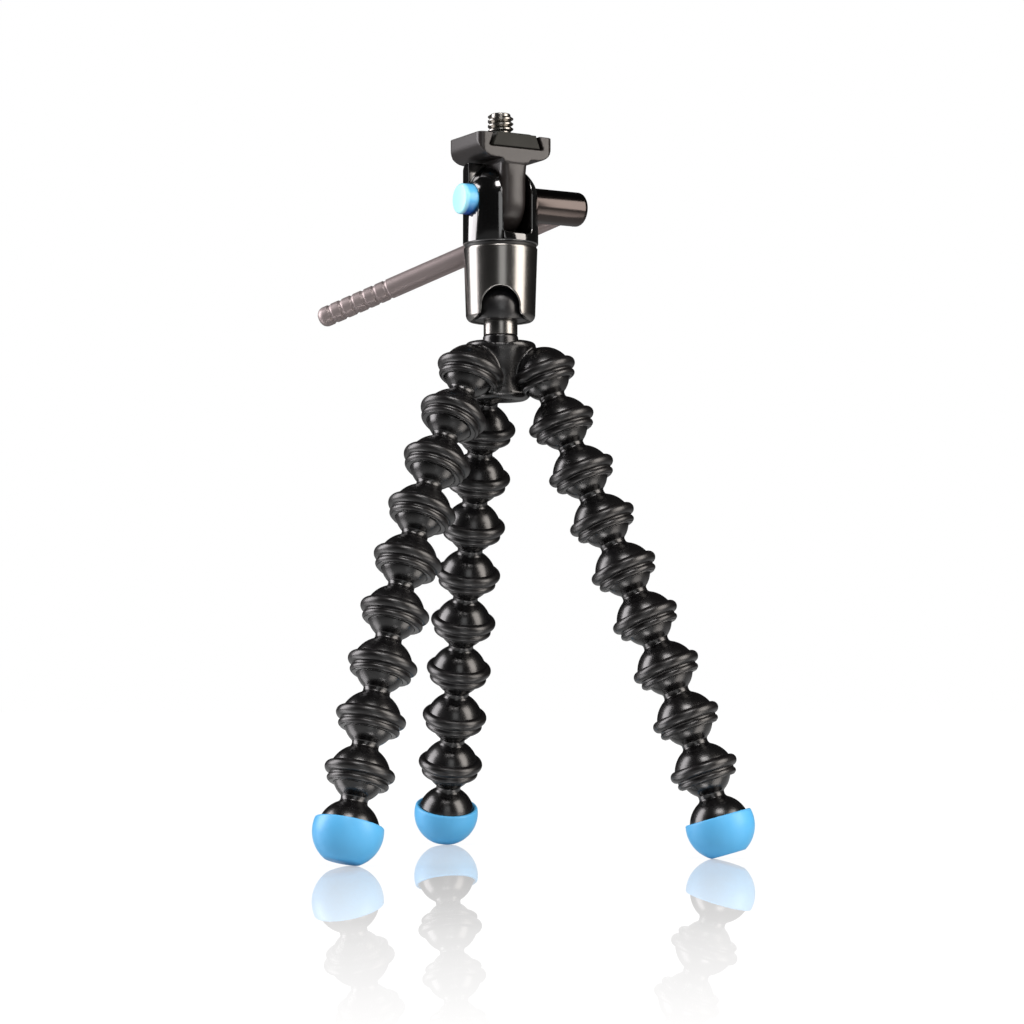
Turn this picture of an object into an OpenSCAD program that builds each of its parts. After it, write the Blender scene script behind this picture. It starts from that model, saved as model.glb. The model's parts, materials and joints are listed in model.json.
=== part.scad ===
// Flexible leg tripod: three chains of snap-together ball links under a small pan and tilt head.
// Millimetres, +Z up, +X to the right of the front view, origin on the floor under the head's axis.

/* [Leg links] */
// Distance between the ball centres of neighbouring links
link_pitch = 13.1; // [12.6:0.1:16]
// Diameter of a link's ball
ball_d = 12.2; // [11.6:0.1:12.4]
// Diameter of the neck between ball and cup
neck_d = 6.4; // [5:0.1:7]
// Outer diameter of the cup's dome
cup_d = 14.6; // [14.4:0.1:15.4]
// Diameter of the cup where the grip ring sits
ring_seat_d = 13.5; // [13.3:0.1:13.8]
// Height of the ring's upper edge seat above the ball centre
ring_seat_up = 1.6; // [1:0.1:2]
// Depth of the cup's rim below the ball centre
cup_lip = 2.45; // [1.8:0.05:2.7]
// Radial play between a ball and its cup
ball_play = 0.05; // [0.02:0.01:0.1]
// Fillet between neck and dome
neck_fillet = 1; // [0.6:0.1:1.2]
// Fillet between neck and ball
ball_fillet = 0.7; // [0.4:0.1:0.9]

/* [Grip rings] */
// Diameter over the thick upper bead
bead_d = 16.7; // [16:0.1:17.4]
// Thickness of the upper bead
bead_t = 2.9; // [2.4:0.1:3.2]
// Height of the upper bead above the ball centre
bead_up = 1; // [0.8:0.1:1.2]
// Diameter over the thin lower rib
rib_d = 14.7; // [14.4:0.1:15.2]
// Thickness of the lower rib
rib_t = 1.7; // [1.4:0.1:1.8]
// Depth of the lower rib below the ball centre
rib_down = 1.5; // [1.3:0.1:1.6]
// Depth of the valley between rib and bead
ring_valley = 0.3; // [0.1:0.1:0.4]

/* [Leg pose] */
// Bearing of each leg: right, left and rear
leg_bearing = [-12.8, -130.4, 104.8]; // [-180:0.1:180]
// Splay of each leg's first link from plumb
splay_top = [20.4, 29.7, 24.5]; // [10:0.1:32]
// Splay of each leg's middle link from plumb
splay_mid = [23.8, 20.1, 22.5]; // [10:0.1:32]
// Splay of each leg's foot from plumb
splay_foot = [16.2, 16.1, 20.2]; // [5:0.1:32]

/* [Feet] */
// Outer diameter of the rubber cap
cap_d = 16.7; // [16.2:0.1:18]
// Height of the cap's rim above the dome centre
cap_rim_up = 2.1; // [1.6:0.1:2.6]
// Thickness of the cap's rolled rim
cap_rim_t = 1.1; // [0.9:0.1:1.2]
// Depth of the flat sole below the dome centre
sole_down = 7.2; // [6.9:0.1:7.5]
// Depth of the foot body's flat underside below the dome centre
foot_cut = 2.6; // [2:0.1:3]
// Diameter of the magnet
magnet_d = 9; // [7:0.1:10]
// Thickness of the magnet
magnet_t = 3.2; // [2.5:0.1:3.5]

/* [Hub] */
// Distance of the leg sockets from the hub's axis
hub_reach = 11.1; // [10.6:0.1:13]
// Splay of the leg sockets from plumb
hub_splay = 22; // [18:0.5:26]
// Bearing of the right leg's socket
hub_bearing = -12.5; // [-30:0.5:30]
// Diameter of the hub's lower column
column_d = 10.4; // [9.8:0.1:10.8]
// Room round a leg's first link under the hub
mouth_room = 2; // [1.5:0.1:3]
// Depth of the column's end below the socket centres
column_down = 5.9; // [5:0.1:6.2]
// Diameter of the hub's shoulder
shoulder_d = 17.6; // [16:0.1:19]
// Height of the shoulder above the socket centres
shoulder_up = 7.3; // [7:0.1:7.4]
// Thickness of the shoulder
shoulder_t = 5; // [4:0.1:6]
// Diameter of the boss under the stem
boss_d = 8.8; // [8.6:0.1:9]
// Height of the boss above the socket centres
boss_up = 10.4; // [10.2:0.1:11.4]
// Fillet between boss and shoulder
boss_fillet = 2; // [1:0.1:2]

/* [Ball joint of the head] */
// Diameter of the head's ball
head_ball_d = 14; // [13:0.1:14.2]
// Height of the head's ball above the boss
head_ball_up = 6.5; // [6.4:0.1:7]
// Diameter of the steel stem
stem_d = 8.4; // [7.6:0.1:8.5]
// Height of the steel stem's collar above the boss
collar_h = 3.6; // [3:0.1:3.8]
// Diameter of the stem's spigot in the hub
spigot_d = 5; // [4.4:0.1:5.4]
// Length of the stem's spigot in the hub
spigot_l = 12; // [10:0.5:13]
// Diameter of the stem's core in the ball
core_d = 4.4; // [4:0.1:5]
// Height of the stem's core above the ball's centre
core_up = 2.5; // [1:0.1:4]
// Diameter of the screw that holds the stem
hub_screw_d = 3; // [2.5:0.1:3]
// Length of the hub screw's shank
hub_screw_l = 9; // [8:0.5:11]
// Diameter of the hub screw's head
hub_screw_head_d = 5.6; // [5:0.1:6.2]
// Height of the hub screw's head
hub_screw_head_h = 1.8; // [1.4:0.1:2]

/* [Sleeve] */
// Diameter of the steel sleeve at its upper end
sleeve_d = 18.3; // [18:0.1:18.6]
// Diameter of the steel sleeve at its lower end
sleeve_low_d = 17.2; // [17:0.1:17.6]
// Bore of the sleeve
sleeve_bore = 16.2; // [16:0.1:16.3]
// Radius of the sleeve's rounded lower edge
sleeve_round = 1.8; // [1.4:0.1:2]
// Height of the sleeve's upper end above the ball's centre
sleeve_up = 15.2; // [15:0.1:16]
// Depth of the sleeve's lower end below the ball's centre
sleeve_down = 3.3; // [3:0.1:3.4]
// Diameter of the sleeve's turned-in mouth
sleeve_mouth_d = 14.8; // [14.7:0.1:15]
// Thickness of the turned-in lip
sleeve_lip = 1.1; // [0.9:0.1:1.3]
// Width of the notch that takes the stem
notch_w = 9.6; // [9.4:0.1:10]
// Flare of the notch's lower corners
notch_flare = 2.8; // [2:0.1:2.9]
// Depth of the liner's mouth below the ball's centre
liner_down = 3; // [2.6:0.1:3.1]
// Bore of the disc spring over the liner
liner_spring_bore = 8.8; // [7:0.1:11]
// Thickness of the liner over the ball
liner_top = 1.4; // [1:0.1:1.5]
// Gap between pieces that are pressed together
seat_gap = 0.02; // [0.01:0.01:0.04]

/* [Pan joint] */
// Thickness of the plug in the sleeve's upper end
plug_t = 5; // [4.8:0.1:5.2]
// Thickness of the plug's web round the pan spigot
plug_web = 2.6; // [2.3:0.1:2.8]
// Diameter of the plug's lower recess
plug_recess_d = 11.2; // [10.6:0.1:12]
// Diameter of the pan spigot
pan_spigot_d = 7; // [6.4:0.1:7.2]
// Thickness of the friction washer
pan_washer_t = 0.6; // [0.4:0.1:0.8]
// Diameter of the friction washer
pan_washer_d = 17.8; // [17:0.1:18]
// Diameter of the pan screw's head
pan_screw_head_d = 9.2; // [8.6:0.1:10]
// Thickness of the pan screw's head
pan_screw_head_h = 1.2; // [1:0.1:1.3]
// Diameter of the pan screw's shank
pan_screw_d = 3; // [2.5:0.1:3.5]
// Thickness of the disc springs
disc_t = 0.4; // [0.3:0.05:0.5]
// Clearance of turning and sliding fits
run_gap = 0.05; // [0.03:0.01:0.08]

/* [Yoke and tilt] */
// Turn of the head about its own axis
head_turn = 30; // [0:1:60]
// Diameter of the yoke
yoke_d = 18.7; // [18.4:0.1:19]
// Height of the tilt axis above the yoke's lower face
tilt_up = 10.85; // [10.8:0.05:12]
// Angle at which the platform comes to rest on the yoke's rear
tilt_back = 18; // [10:1:25]
// Gap between the platform and the yoke's rear
rear_gap = 0.5; // [0.4:0.1:1]
// Radius of the tilting lug
lug_r = 7.8; // [7.4:0.1:7.9]
// Thickness of the tilting lug
lug_t = 7.2; // [6.6:0.1:7.3]
// Rounded edge of the lug and its neck
lug_round = 1.6; // [1:0.1:2.5]
// Thickness of the washers beside the lug
tilt_washer_t = 0.5; // [0.3:0.1:0.6]
// Diameter of the washers beside the lug
tilt_washer_d = 9.4; // [8:0.1:9.6]
// Gap under the lug
lug_gap = 0.9; // [0.4:0.1:1.2]
// Diameter of the tilt axle
axle_d = 5; // [4:0.1:5.2]

/* [Platform] */
// Width of the platform along the tilt axis
plate_w = 20.8; // [19:0.1:22]
// Depth of the platform across the tilt axis
plate_l = 16; // [15.9:0.1:18]
// Height of the platform's top above the tilt axis
plate_up = 15.8; // [15.4:0.1:17]
// Thickness of the platform
plate_t = 6.1; // [5.8:0.1:6.2]
// Radius of the platform's lower corners
plate_round = 4.2; // [3.4:0.1:4.6]
// Fillet between the platform and its neck
neck_flare = 1; // [0.5:0.1:1]
// Radius of the platform's corners in plan
plate_corner = 1.6; // [1:0.1:2.4]
// Width of the dovetail channel's floor
channel_w = 15.4; // [14.6:0.1:16]
// Width of the dovetail channel's mouth
channel_mouth = 12.8; // [12.2:0.1:13.4]
// Depth of the dovetail channel
channel_t = 3.3; // [3:0.1:3.5]
// Wall that closes the channel's rear end
channel_stop = 1.2; // [1:0.1:2]

/* [Camera clip] */
// Clearance of the clip in its channel
clip_gap = 0.1; // [0.06:0.01:0.15]
// Height of the clip's top above the platform
clip_rise = 0.1; // [0.05:0.05:0.4]
// Width of the rubber pad
pad_w = 11.6; // [10:0.1:11.8]
// Length of the rubber pad
pad_l = 13; // [11:0.1:13.2]
// Thickness of the rubber pad
pad_t = 0.5; // [0.5:0.1:0.8]
// Diameter of the 1/4-20 camera screw
screw_d = 6.35; // [6:0.05:7]
// Length of the camera screw above the pad
screw_up = 5.7; // [4.5:0.1:6.5]
// Chamfer at the camera screw's end
screw_chamfer = 0.6; // [0.3:0.1:1]
// Diameter of the camera screw's relief
relief_d = 5.7; // [5.2:0.05:5.9]
// Diameter of the camera screw's head
screw_head_d = 10; // [9:0.1:11]
// Thickness of the camera screw's head
screw_head_t = 1.5; // [1.2:0.1:1.7]
// Width of the coin slot
coin_w = 1.4; // [1:0.1:2]
// Diameter of the ring that keeps the screw in its clip
retainer_d = 9; // [8:0.1:9.6]
// Thickness of the ring that keeps the screw in its clip
retainer_t = 0.4; // [0.3:0.05:0.4]

/* [Button] */
// Diameter of the release button
button_d = 7.6; // [7:0.1:8]
// Projection of the button from the yoke
button_out = 2.4; // [2.1:0.1:4]
// Length of the button in the yoke at rest
button_in = 1.8; // [1.5:0.1:2]
// Depth of the button's recess in the yoke
button_recess = 4.1; // [3.8:0.1:4.3]
// Rounded edge of the button
button_round = 0.7; // [0.4:0.1:1]
// Wall of the hollow button
button_wall = 0.9; // [0.7:0.1:1]

/* [Handle] */
// Diameter of the handle's barrel
barrel_d = 8.6; // [8:0.1:9]
// Distance of the barrel's end from the head's axis
barrel_end = 23.4; // [22:0.1:26]
// Depth of the barrel's seat in the yoke
barrel_sink = 1.5; // [1:0.1:2]
// Rounded edge of the barrel's end
barrel_round = 1.5; // [0.8:0.1:2.5]
// Distance of the handle's hinge pin from the barrel's end
hinge_inset = 2.8; // [2.6:0.1:4]
// Diameter of the rod
rod_d = 5.2; // [4.6:0.1:5.4]
// Length of the rod from its hinge pin
rod_l = 72; // [50:1:110]
// Radius of the rounded edge at the rod's tip
rod_tip_round = 2; // [1:0.1:2.2]
// Diameter of the hinge pin
hinge_pin_d = 2; // [1.5:0.1:2.2]
// Clearance of the rod in the barrel's slot
slot_gap = 0.1; // [0.06:0.01:0.15]
// Angle of the folded rod from the barrel's axis
rod_fold = 50; // [50:1:80]
// Angle of the handle below the level
rod_drop = 27.5; // [10:0.1:40]
// Smallest fold that the slot is open for
fold_low = 48; // [40:1:50]
// Largest fold that the slot is open for
fold_high = 132; // [110:1:140]
// Number of finger grooves
grooves = 6; // [3:1:9]
// Spacing of the finger grooves
groove_step = 3.2; // [2.6:0.1:4]
// Distance of the first groove from the tip
groove_inset = 3.9; // [3:0.1:6]
// Radius of a groove's round bottom
groove_r = 0.9; // [0.6:0.05:1.2]
// Depth of a groove
groove_depth = 0.45; // [0.2:0.05:0.6]

/* [Hidden] */
$fn = 64;
LEGS = ["right", "left", "rear"];
LINKS = 8;
FOOT = LINKS + 1;
FOOT_PIECES = ["foot_body", "foot_magnet", "foot_cap"];
HEAD_NODES = [
    "leg_hub", "hub_grip_rings", "ball_stem", "head_ball", "hub_screw",
    "socket_sleeve", "ball_liner", "liner_spring", "socket_plug", "pan_washer",
    "pan_yoke", "pan_screw", "pan_spring_washer",
    "tilt_platform", "tilt_axle", "tilt_washers", "handle_barrel", "handle_pin",
    "handle_rod", "release_button", "button_spring",
    "clip_plate", "clip_pad", "camera_screw", "screw_retainer"
];
function link_name(leg, i) = str(LEGS[leg], "_link_", i);
function foot_name(leg, piece) = str(LEGS[leg], "_", piece);

ball_r = ball_d / 2;
cup_r = cup_d / 2;
neck_r = neck_d / 2;
socket_r = ball_r + ball_play;
cap_r = cap_d / 2;
sole_r = sqrt(cap_r * cap_r - sole_down * sole_down);
// Reach of cuts that go right through, and overshoot of cuts beyond a face
far = 250;
over = 1;

// Splay of link i of a leg: a parabola through the first link, the middle link and the foot
function splay(leg, i, trim) =
    let (u = (2 * i - FOOT - 1) / (FOOT - 1))
    let (bow = (splay_top[leg] + splay_foot[leg]) / 2 - splay_mid[leg])
    splay_mid[leg] + u * (splay_foot[leg] - splay_top[leg]) / 2 + u * u * bow + trim;
// Height of the sockets above the floor when a leg has that trim
function drop_to(leg, i, trim) =
    i == 0 ? 0 : drop_to(leg, i - 1, trim) + link_pitch * cos(splay(leg, i, trim));
function leg_height(leg, trim) =
    drop_to(leg, FOOT, trim) + sole_down * cos(splay(leg, FOOT, trim))
    + sole_r * sin(splay(leg, FOOT, trim));
// Trim that brings a leg's foot to the floor, by halving
function solve_trim(leg, low, high, steps) =
    let (mid = (low + high) / 2)
    steps == 0 ? mid
    : leg_height(leg, mid) > hub_z ? solve_trim(leg, mid, high, steps - 1)
    : solve_trim(leg, low, mid, steps - 1);
hub_z = leg_height(0, 0);
leg_trim = [for (leg = [0 : 2]) leg == 0 ? 0 : solve_trim(leg, -10, 15, 40)];
function link_splay(leg, i) = splay(leg, i, leg_trim[leg]);
function bearing(angle) = [cos(angle), sin(angle), 0];
function link_dir(leg, i) =
    sin(link_splay(leg, i)) * bearing(leg_bearing[leg]) - [0, 0, cos(link_splay(leg, i))];
function socket_bearing(leg) = hub_bearing + [0, -120, 120][leg];
// Centre of the ball joint above link i
function joint_pos(leg, i) =
    i == 1 ? hub_reach * bearing(socket_bearing(leg)) + [0, 0, hub_z]
    : joint_pos(leg, i - 1) + link_pitch * link_dir(leg, i - 1);

boss_z = hub_z + boss_up;
shoulder_z = hub_z + shoulder_up;
column_z = hub_z - column_down;
head_ball_r = head_ball_d / 2;
head_ball_z = boss_z + head_ball_up;
ball_flat_z = boss_z + collar_h;
sleeve_z = head_ball_z - sleeve_down;
sleeve_top_z = head_ball_z + sleeve_up;
head_socket_r = head_ball_r + ball_play;
liner_r = sleeve_bore / 2 - seat_gap;
liner_z = head_ball_z - liner_down;
liner_top_z = head_ball_z + head_socket_r + liner_top;
liner_mouth_r = sleeve_mouth_d / 2 - seat_gap;
plug_z = sleeve_top_z - plug_t;
plug_web_z = sleeve_top_z - plug_web;
pan_spigot_r = pan_spigot_d / 2;
yoke_r = yoke_d / 2;
dome_r = yoke_r + run_gap;
yoke_z = sleeve_top_z + pan_washer_t + run_gap;
spigot_end_z = plug_web_z - 2 * disc_t;
tilt_z = yoke_z + tilt_up;
slot_r = lug_t / 2 + tilt_washer_t + run_gap;
axle_r = axle_d / 2;
plate_z = tilt_z + plate_up;
plate_low_z = plate_z - plate_t;
rear_up = plate_up - plate_t - rear_gap;
channel_z = plate_z - channel_t;
clip_z = channel_z + clip_gap;
pad_z = plate_z + clip_rise;
pad_top_z = pad_z + pad_t;
screw_r = screw_d / 2;
screw_z = clip_z + clip_gap;
screw_head_z = screw_z + screw_head_t;
screw_hole_r = screw_r + clip_gap;
retainer_z = pad_z + run_gap;
recess_floor = yoke_r - button_recess;
button_end = yoke_r - button_in;
barrel_r = barrel_d / 2;
barrel_start = yoke_r - barrel_sink;
barrel_recess = barrel_start - clip_gap;
hinge_x = barrel_end - hinge_inset;
rod_r = rod_d / 2;
slot_half = rod_r + slot_gap;
barrel_bore_l = hinge_x - (slot_half + axle_r * cos(fold_low)) / sin(fold_low);

// Strip from the axis out to a radius, between two heights
module half_strip(r, low, high) translate([0, low]) square([r, high - low]);

// Half plane beside the axis, cut at two heights
module half_band(low, high) half_strip(far, low, high);

// Half of a disc beside the axis
module half_disc(r) intersection() {
    circle(r = r);
    half_band(-far, far);
}

// Tilted frame of a leg socket in the hub: axis downwards
module socket_frame(leg) translate(joint_pos(leg, 1)) rotate([0, 0, socket_bearing(leg)])
    rotate([0, -hub_splay, 0]) children();

// Frame of a leg link: origin at its ball, cup towards -Z
module link_frame(leg, i) translate(joint_pos(leg, i)) rotate([0, 0, leg_bearing[leg]])
    rotate([0, -link_splay(leg, i), 0]) children();

// Frame of the head above the pan joint
module head_frame() rotate([0, 0, head_turn]) children();

// Frame with +Z along the tilt axis
module tilt_frame() translate([0, 0, tilt_z]) head_frame() rotate([0, 90, 0]) children();

// Frame of the handle: X along the tilt axis, Y towards the rod's side
module handle_frame() translate([0, 0, tilt_z]) head_frame() rotate([-rod_drop, 0, 0]) children();

// Outline of a cup, grown by a gap: dome above, ring seat below, cut at the rim
module cup_outline(gap) {
    intersection() {
        circle(r = cup_r + gap);
        half_band(ring_seat_up - gap, far);
    }
    half_strip(ring_seat_d / 2 + gap, -cup_lip - gap, ring_seat_up + gap);
}

// Outline of a grip ring on its cup
module ring_outline() difference() {
    union() {
        translate([bead_d / 2 - bead_t / 2, bead_up]) circle(d = bead_t);
        translate([rib_d / 2 - rib_t / 2, -rib_down]) circle(d = rib_t);
        half_strip(rib_d / 2 - ring_valley, -rib_down, bead_up);
    }
    cup_outline(seat_gap);
    half_band(-far, -cup_lip);
}

// Neck between a ball at height 0 and a dome one pitch below, with a fillet at each end
module neck_outline() {
    dome = [0, -link_pitch];
    top = [neck_r + ball_fillet, -sqrt(pow(ball_r + ball_fillet, 2) - pow(neck_r + ball_fillet, 2))];
    low = [neck_r + neck_fillet, sqrt(pow(cup_r + neck_fillet, 2) - pow(neck_r + neck_fillet, 2))];
    in_ball = top * neck_r / top[0];
    in_dome = low * neck_r / low[0] + dome;
    difference() {
        polygon([
            [0, in_dome[1]],
            in_dome,
            low + dome,
            [neck_r, low[1] + dome[1]],
            [neck_r, top[1]],
            top,
            in_ball,
            [0, in_ball[1]]
        ]);
        translate(top) circle(r = ball_fillet);
        translate(low + dome) circle(r = neck_fillet);
    }
}

// Ball, neck and the cup or dome below it
module link_outline() {
    half_disc(ball_r);
    neck_outline();
    translate([0, -link_pitch]) children();
}

// One leg link with its cup and grip ring
module leg_link(leg, i) link_frame(leg, i) {
    color("#1b1a1c") rotate_extrude() difference() {
        link_outline() cup_outline(0);
        translate([0, -link_pitch]) circle(r = socket_r);
    }
    color("#2a2627") translate([0, 0, -link_pitch]) rotate_extrude() ring_outline();
}

// Outline of the rubber cap round the foot's dome
module cap_outline() {
    rim_mid = cap_rim_up - cap_rim_t / 2;
    intersection() {
        circle(r = cap_r);
        half_band(-sole_down, rim_mid);
    }
    translate([sqrt(cap_r * cap_r - rim_mid * rim_mid) - cap_rim_t / 2, rim_mid]) circle(d = cap_rim_t);
}

// Last link of a leg: a ball, a neck and a dome that carries the rubber cap
module foot_body(leg) link_frame(leg, FOOT) color("#1b1a1c") rotate_extrude() difference() {
    link_outline() half_disc(cup_r);
    translate([0, -link_pitch]) half_band(-far, -foot_cut);
}

// Disc magnet under the foot body
module foot_magnet(leg) link_frame(leg, FOOT) color("#b8b8bc")
    translate([0, 0, -link_pitch - foot_cut - magnet_t]) cylinder(d = magnet_d, h = magnet_t);

// Rubber cap over the foot body and the magnet
module foot_cap(leg) link_frame(leg, FOOT) color("#5db2ea") translate([0, 0, -link_pitch])
    rotate_extrude() difference() {
        cap_outline();
        intersection() {
            circle(r = cup_r + seat_gap);
            half_band(-foot_cut, far);
        }
        half_strip(magnet_d / 2, -foot_cut - magnet_t, over - foot_cut);
    }

// Outline of the hub's column, shoulder and boss
module hub_outline() {
    column_r = column_d / 2;
    shoulder_r = shoulder_d / 2;
    boss_r = boss_d / 2;
    edge = shoulder_t / 2;
    half_strip(column_r, column_z, shoulder_z);
    half_strip(shoulder_r - edge, shoulder_z - shoulder_t, shoulder_z);
    intersection() {
        translate([shoulder_r - edge, shoulder_z - edge]) circle(r = edge);
        half_band(0, far);
    }
    half_strip(boss_r, shoulder_z - over, boss_z);
    difference() {
        half_strip(boss_r + boss_fillet, shoulder_z - over, shoulder_z + boss_fillet);
        translate([boss_r + boss_fillet, shoulder_z + boss_fillet]) circle(r = boss_fillet);
    }
}

// Moulded hub with three leg sockets and the seat of the stem
module leg_hub() color("#1b1a1c") difference() {
    union() {
        rotate_extrude() hub_outline();
        for (leg = [0 : 2]) socket_frame(leg) rotate_extrude() cup_outline(0);
    }
    for (leg = [0 : 2]) socket_frame(leg) {
        sphere(r = socket_r);
        translate([0, 0, -far - socket_r]) cylinder(r = socket_r + mouth_room, h = far);
    }
    translate([0, 0, boss_z - spigot_l]) cylinder(d = spigot_d, h = spigot_l + over);
    translate([0, 0, column_z - over]) {
        cylinder(d = hub_screw_d + 2 * clip_gap, h = boss_z - spigot_l - column_z + 2 * over);
        cylinder(d = hub_screw_head_d + 2 * clip_gap, h = hub_screw_head_h + over);
    }
}

// Grip rings of the hub's three sockets
module hub_grip_rings() color("#2a2627") for (leg = [0 : 2]) difference() {
    socket_frame(leg) rotate_extrude() ring_outline();
    rotate_extrude() hub_outline();
}

// Steel stem: spigot in the hub, collar and core of the ball
module ball_stem() color("#c9c9c6") difference() {
    union() {
        translate([0, 0, boss_z - spigot_l]) cylinder(d = spigot_d, h = spigot_l);
        translate([0, 0, boss_z]) cylinder(d = stem_d, h = ball_flat_z - boss_z);
        translate([0, 0, ball_flat_z]) cylinder(d = core_d, h = head_ball_z + core_up - ball_flat_z);
    }
    translate([0, 0, column_z]) cylinder(d = hub_screw_d, h = hub_screw_head_h + hub_screw_l);
}

// Moulded ball on the stem's core
module head_ball() color("#171719") difference() {
    translate([0, 0, head_ball_z]) sphere(r = head_ball_r);
    translate([0, 0, ball_flat_z - head_ball_r]) cylinder(r = head_ball_r, h = head_ball_r);
    translate([0, 0, ball_flat_z - over])
        cylinder(d = core_d, h = head_ball_z + core_up - ball_flat_z + over);
}

// Screw that pulls the stem into the hub from below
module hub_screw() color("#9a9a9c") translate([0, 0, column_z]) {
    cylinder(d = hub_screw_head_d, h = hub_screw_head_h);
    cylinder(d = hub_screw_d, h = hub_screw_head_h + hub_screw_l);
}

// Notch through the front of sleeve and liner, grown by a margin
module notch(margin) {
    half = notch_w / 2 + margin;
    low_z = sleeve_z - over;
    corner_z = sleeve_z + notch_flare;
    rotate([90, 0, 0]) linear_extrude(sleeve_d) {
        translate([0, head_ball_z]) circle(r = half);
        translate([-half, low_z]) square([2 * half, head_ball_z - low_z]);
        difference() {
            translate([-half - notch_flare, low_z]) square([2 * half + 2 * notch_flare, corner_z - low_z]);
            for (side = [-1, 1]) translate([side * (half + notch_flare), corner_z]) circle(r = notch_flare);
        }
    }
}

// Polished steel sleeve with its rounded mouth and stem notch
module socket_sleeve() color("#cfcdc8") difference() {
    rotate_extrude() difference() {
        union() {
            corner = sleeve_low_d / 2 - sleeve_round;
            polygon([[0, sleeve_z + sleeve_round], [sleeve_low_d / 2, sleeve_z + sleeve_round],
                [sleeve_d / 2, sleeve_top_z], [0, sleeve_top_z]]);
            translate([0, sleeve_z]) square([corner, 2 * sleeve_round]);
            translate([corner, sleeve_z + sleeve_round]) circle(r = sleeve_round);
        }
        half_strip(sleeve_bore / 2, sleeve_z + sleeve_lip, far);
        half_strip(sleeve_mouth_d / 2, sleeve_z - over, far);
    }
    notch(0);
}

// Moulded liner that grips the head's ball
module ball_liner() color("#101012") difference() {
    rotate_extrude() difference() {
        union() {
            lip_z = sleeve_z + sleeve_lip + seat_gap;
            half_strip(liner_r, lip_z, liner_top_z);
            half_strip(liner_mouth_r, liner_z, liner_top_z);
        }
        translate([0, head_ball_z]) circle(r = head_socket_r);
    }
    notch(seat_gap);
}

// Outline of a disc spring between two heights
module disc_outline(inner_r, inner_z, outer_r, outer_z) polygon([
    [inner_r, inner_z],
    [outer_r, outer_z],
    [outer_r, outer_z + disc_t],
    [inner_r, inner_z + disc_t]
]);

// Disc spring that presses the liner on the ball
module liner_spring() color("#a9a9ab") rotate_extrude()
    disc_outline(liner_spring_bore / 2, liner_top_z, liner_r - clip_gap, plug_z - disc_t);

// Plug pressed into the sleeve, with the bore of the pan joint
module socket_plug() color("#8f8f92") rotate_extrude() difference() {
    half_strip(liner_r, plug_z, sleeve_top_z);
    half_strip(pan_spigot_r + run_gap, plug_z - over, far);
    half_strip(plug_recess_d / 2, plug_z - over, plug_web_z);
}

// Friction washer between sleeve and yoke
module pan_washer() color("#141414") translate([0, 0, sleeve_top_z]) difference() {
    cylinder(d = pan_washer_d, h = pan_washer_t);
    cylinder(r = pan_spigot_r + run_gap, h = far, center = true);
}

// Section of the slot between the cheeks, with the lug's own round edges
module slot_section() {
    floor_up = tilt_up - lug_r - lug_gap;
    corner = slot_r - lug_round;
    for (side = [-1, 1]) translate([side * corner, floor_up + lug_round]) circle(r = lug_round);
    translate([-corner, floor_up]) square([2 * corner, yoke_d]);
    translate([-slot_r, floor_up + lug_round]) square([2 * slot_r, yoke_d]);
}

// Waste over the cheeks: round about the tilt axis in front, a slope for the platform at the rear
module cheek_waste() {
    translate([0, 0, tilt_up]) difference() {
        translate([-yoke_d, -yoke_d, 0]) cube([2 * yoke_d, yoke_d, yoke_d]);
        sphere(r = dome_r);
    }
    translate([0, 0, tilt_up]) rotate([-tilt_back, 0, 0])
        translate([-yoke_d, -yoke_d, rear_up]) cube([2 * yoke_d, 2 * yoke_d, yoke_d]);
}

// Yoke with its pan spigot, cheeks, axle bores and button recess
module pan_yoke() color("#0c0c0d") difference() {
    union() {
        translate([0, 0, yoke_z]) cylinder(r = yoke_r, h = tilt_up + rear_up);
        translate([0, 0, spigot_end_z]) cylinder(r = pan_spigot_r, h = yoke_z - spigot_end_z + over);
    }
    head_frame() translate([0, yoke_d, yoke_z]) rotate([90, 0, 0]) linear_extrude(2 * yoke_d) slot_section();
    head_frame() translate([0, 0, yoke_z]) cheek_waste();
    translate([0, 0, spigot_end_z - over]) cylinder(d = pan_screw_d, h = yoke_z - spigot_end_z + over);
    tilt_frame() {
        translate([0, 0, -yoke_d]) cylinder(r = axle_r + run_gap, h = 2 * yoke_d);
        translate([0, 0, -yoke_d]) cylinder(r = button_d / 2 + run_gap, h = yoke_d - recess_floor);
        translate([0, 0, barrel_recess]) cylinder(r = barrel_r + run_gap, h = yoke_d);
    }
}

// Screw that holds the yoke's spigot in the plug
module pan_screw() color("#9a9a9c") translate([0, 0, spigot_end_z - pan_screw_head_h]) {
    cylinder(d = pan_screw_head_d, h = pan_screw_head_h);
    cylinder(d = pan_screw_d, h = yoke_z - spigot_end_z + pan_screw_head_h - over);
}

// Spring washer that gives the pan joint its drag
module pan_spring_washer() color("#a9a9ab") rotate_extrude() disc_outline(pan_spigot_r + run_gap,
    spigot_end_z, plug_recess_d / 2 - clip_gap, plug_web_z - disc_t - run_gap);

// Front view of the platform: flat top, round lower corners and flared neck
module plate_front() {
    half = plate_w / 2;
    neck = lug_t / 2;
    intersection() {
        union() {
            for (side = [-1, 1]) translate([side * (half - plate_round), plate_low_z + plate_round])
                circle(r = plate_round);
            translate([plate_round - half, plate_low_z]) square([plate_w - 2 * plate_round, plate_t]);
            translate([-half, plate_low_z + plate_round]) square([plate_w, plate_t - plate_round]);
        }
        translate([-half, plate_low_z]) square([plate_w, plate_t]);
    }
    difference() {
        translate([-neck - neck_flare, plate_low_z - neck_flare])
            square([2 * neck + 2 * neck_flare, neck_flare + over]);
        for (side = [-1, 1]) translate([side * (neck + neck_flare), plate_low_z - neck_flare])
            circle(r = neck_flare);
    }
}

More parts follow.
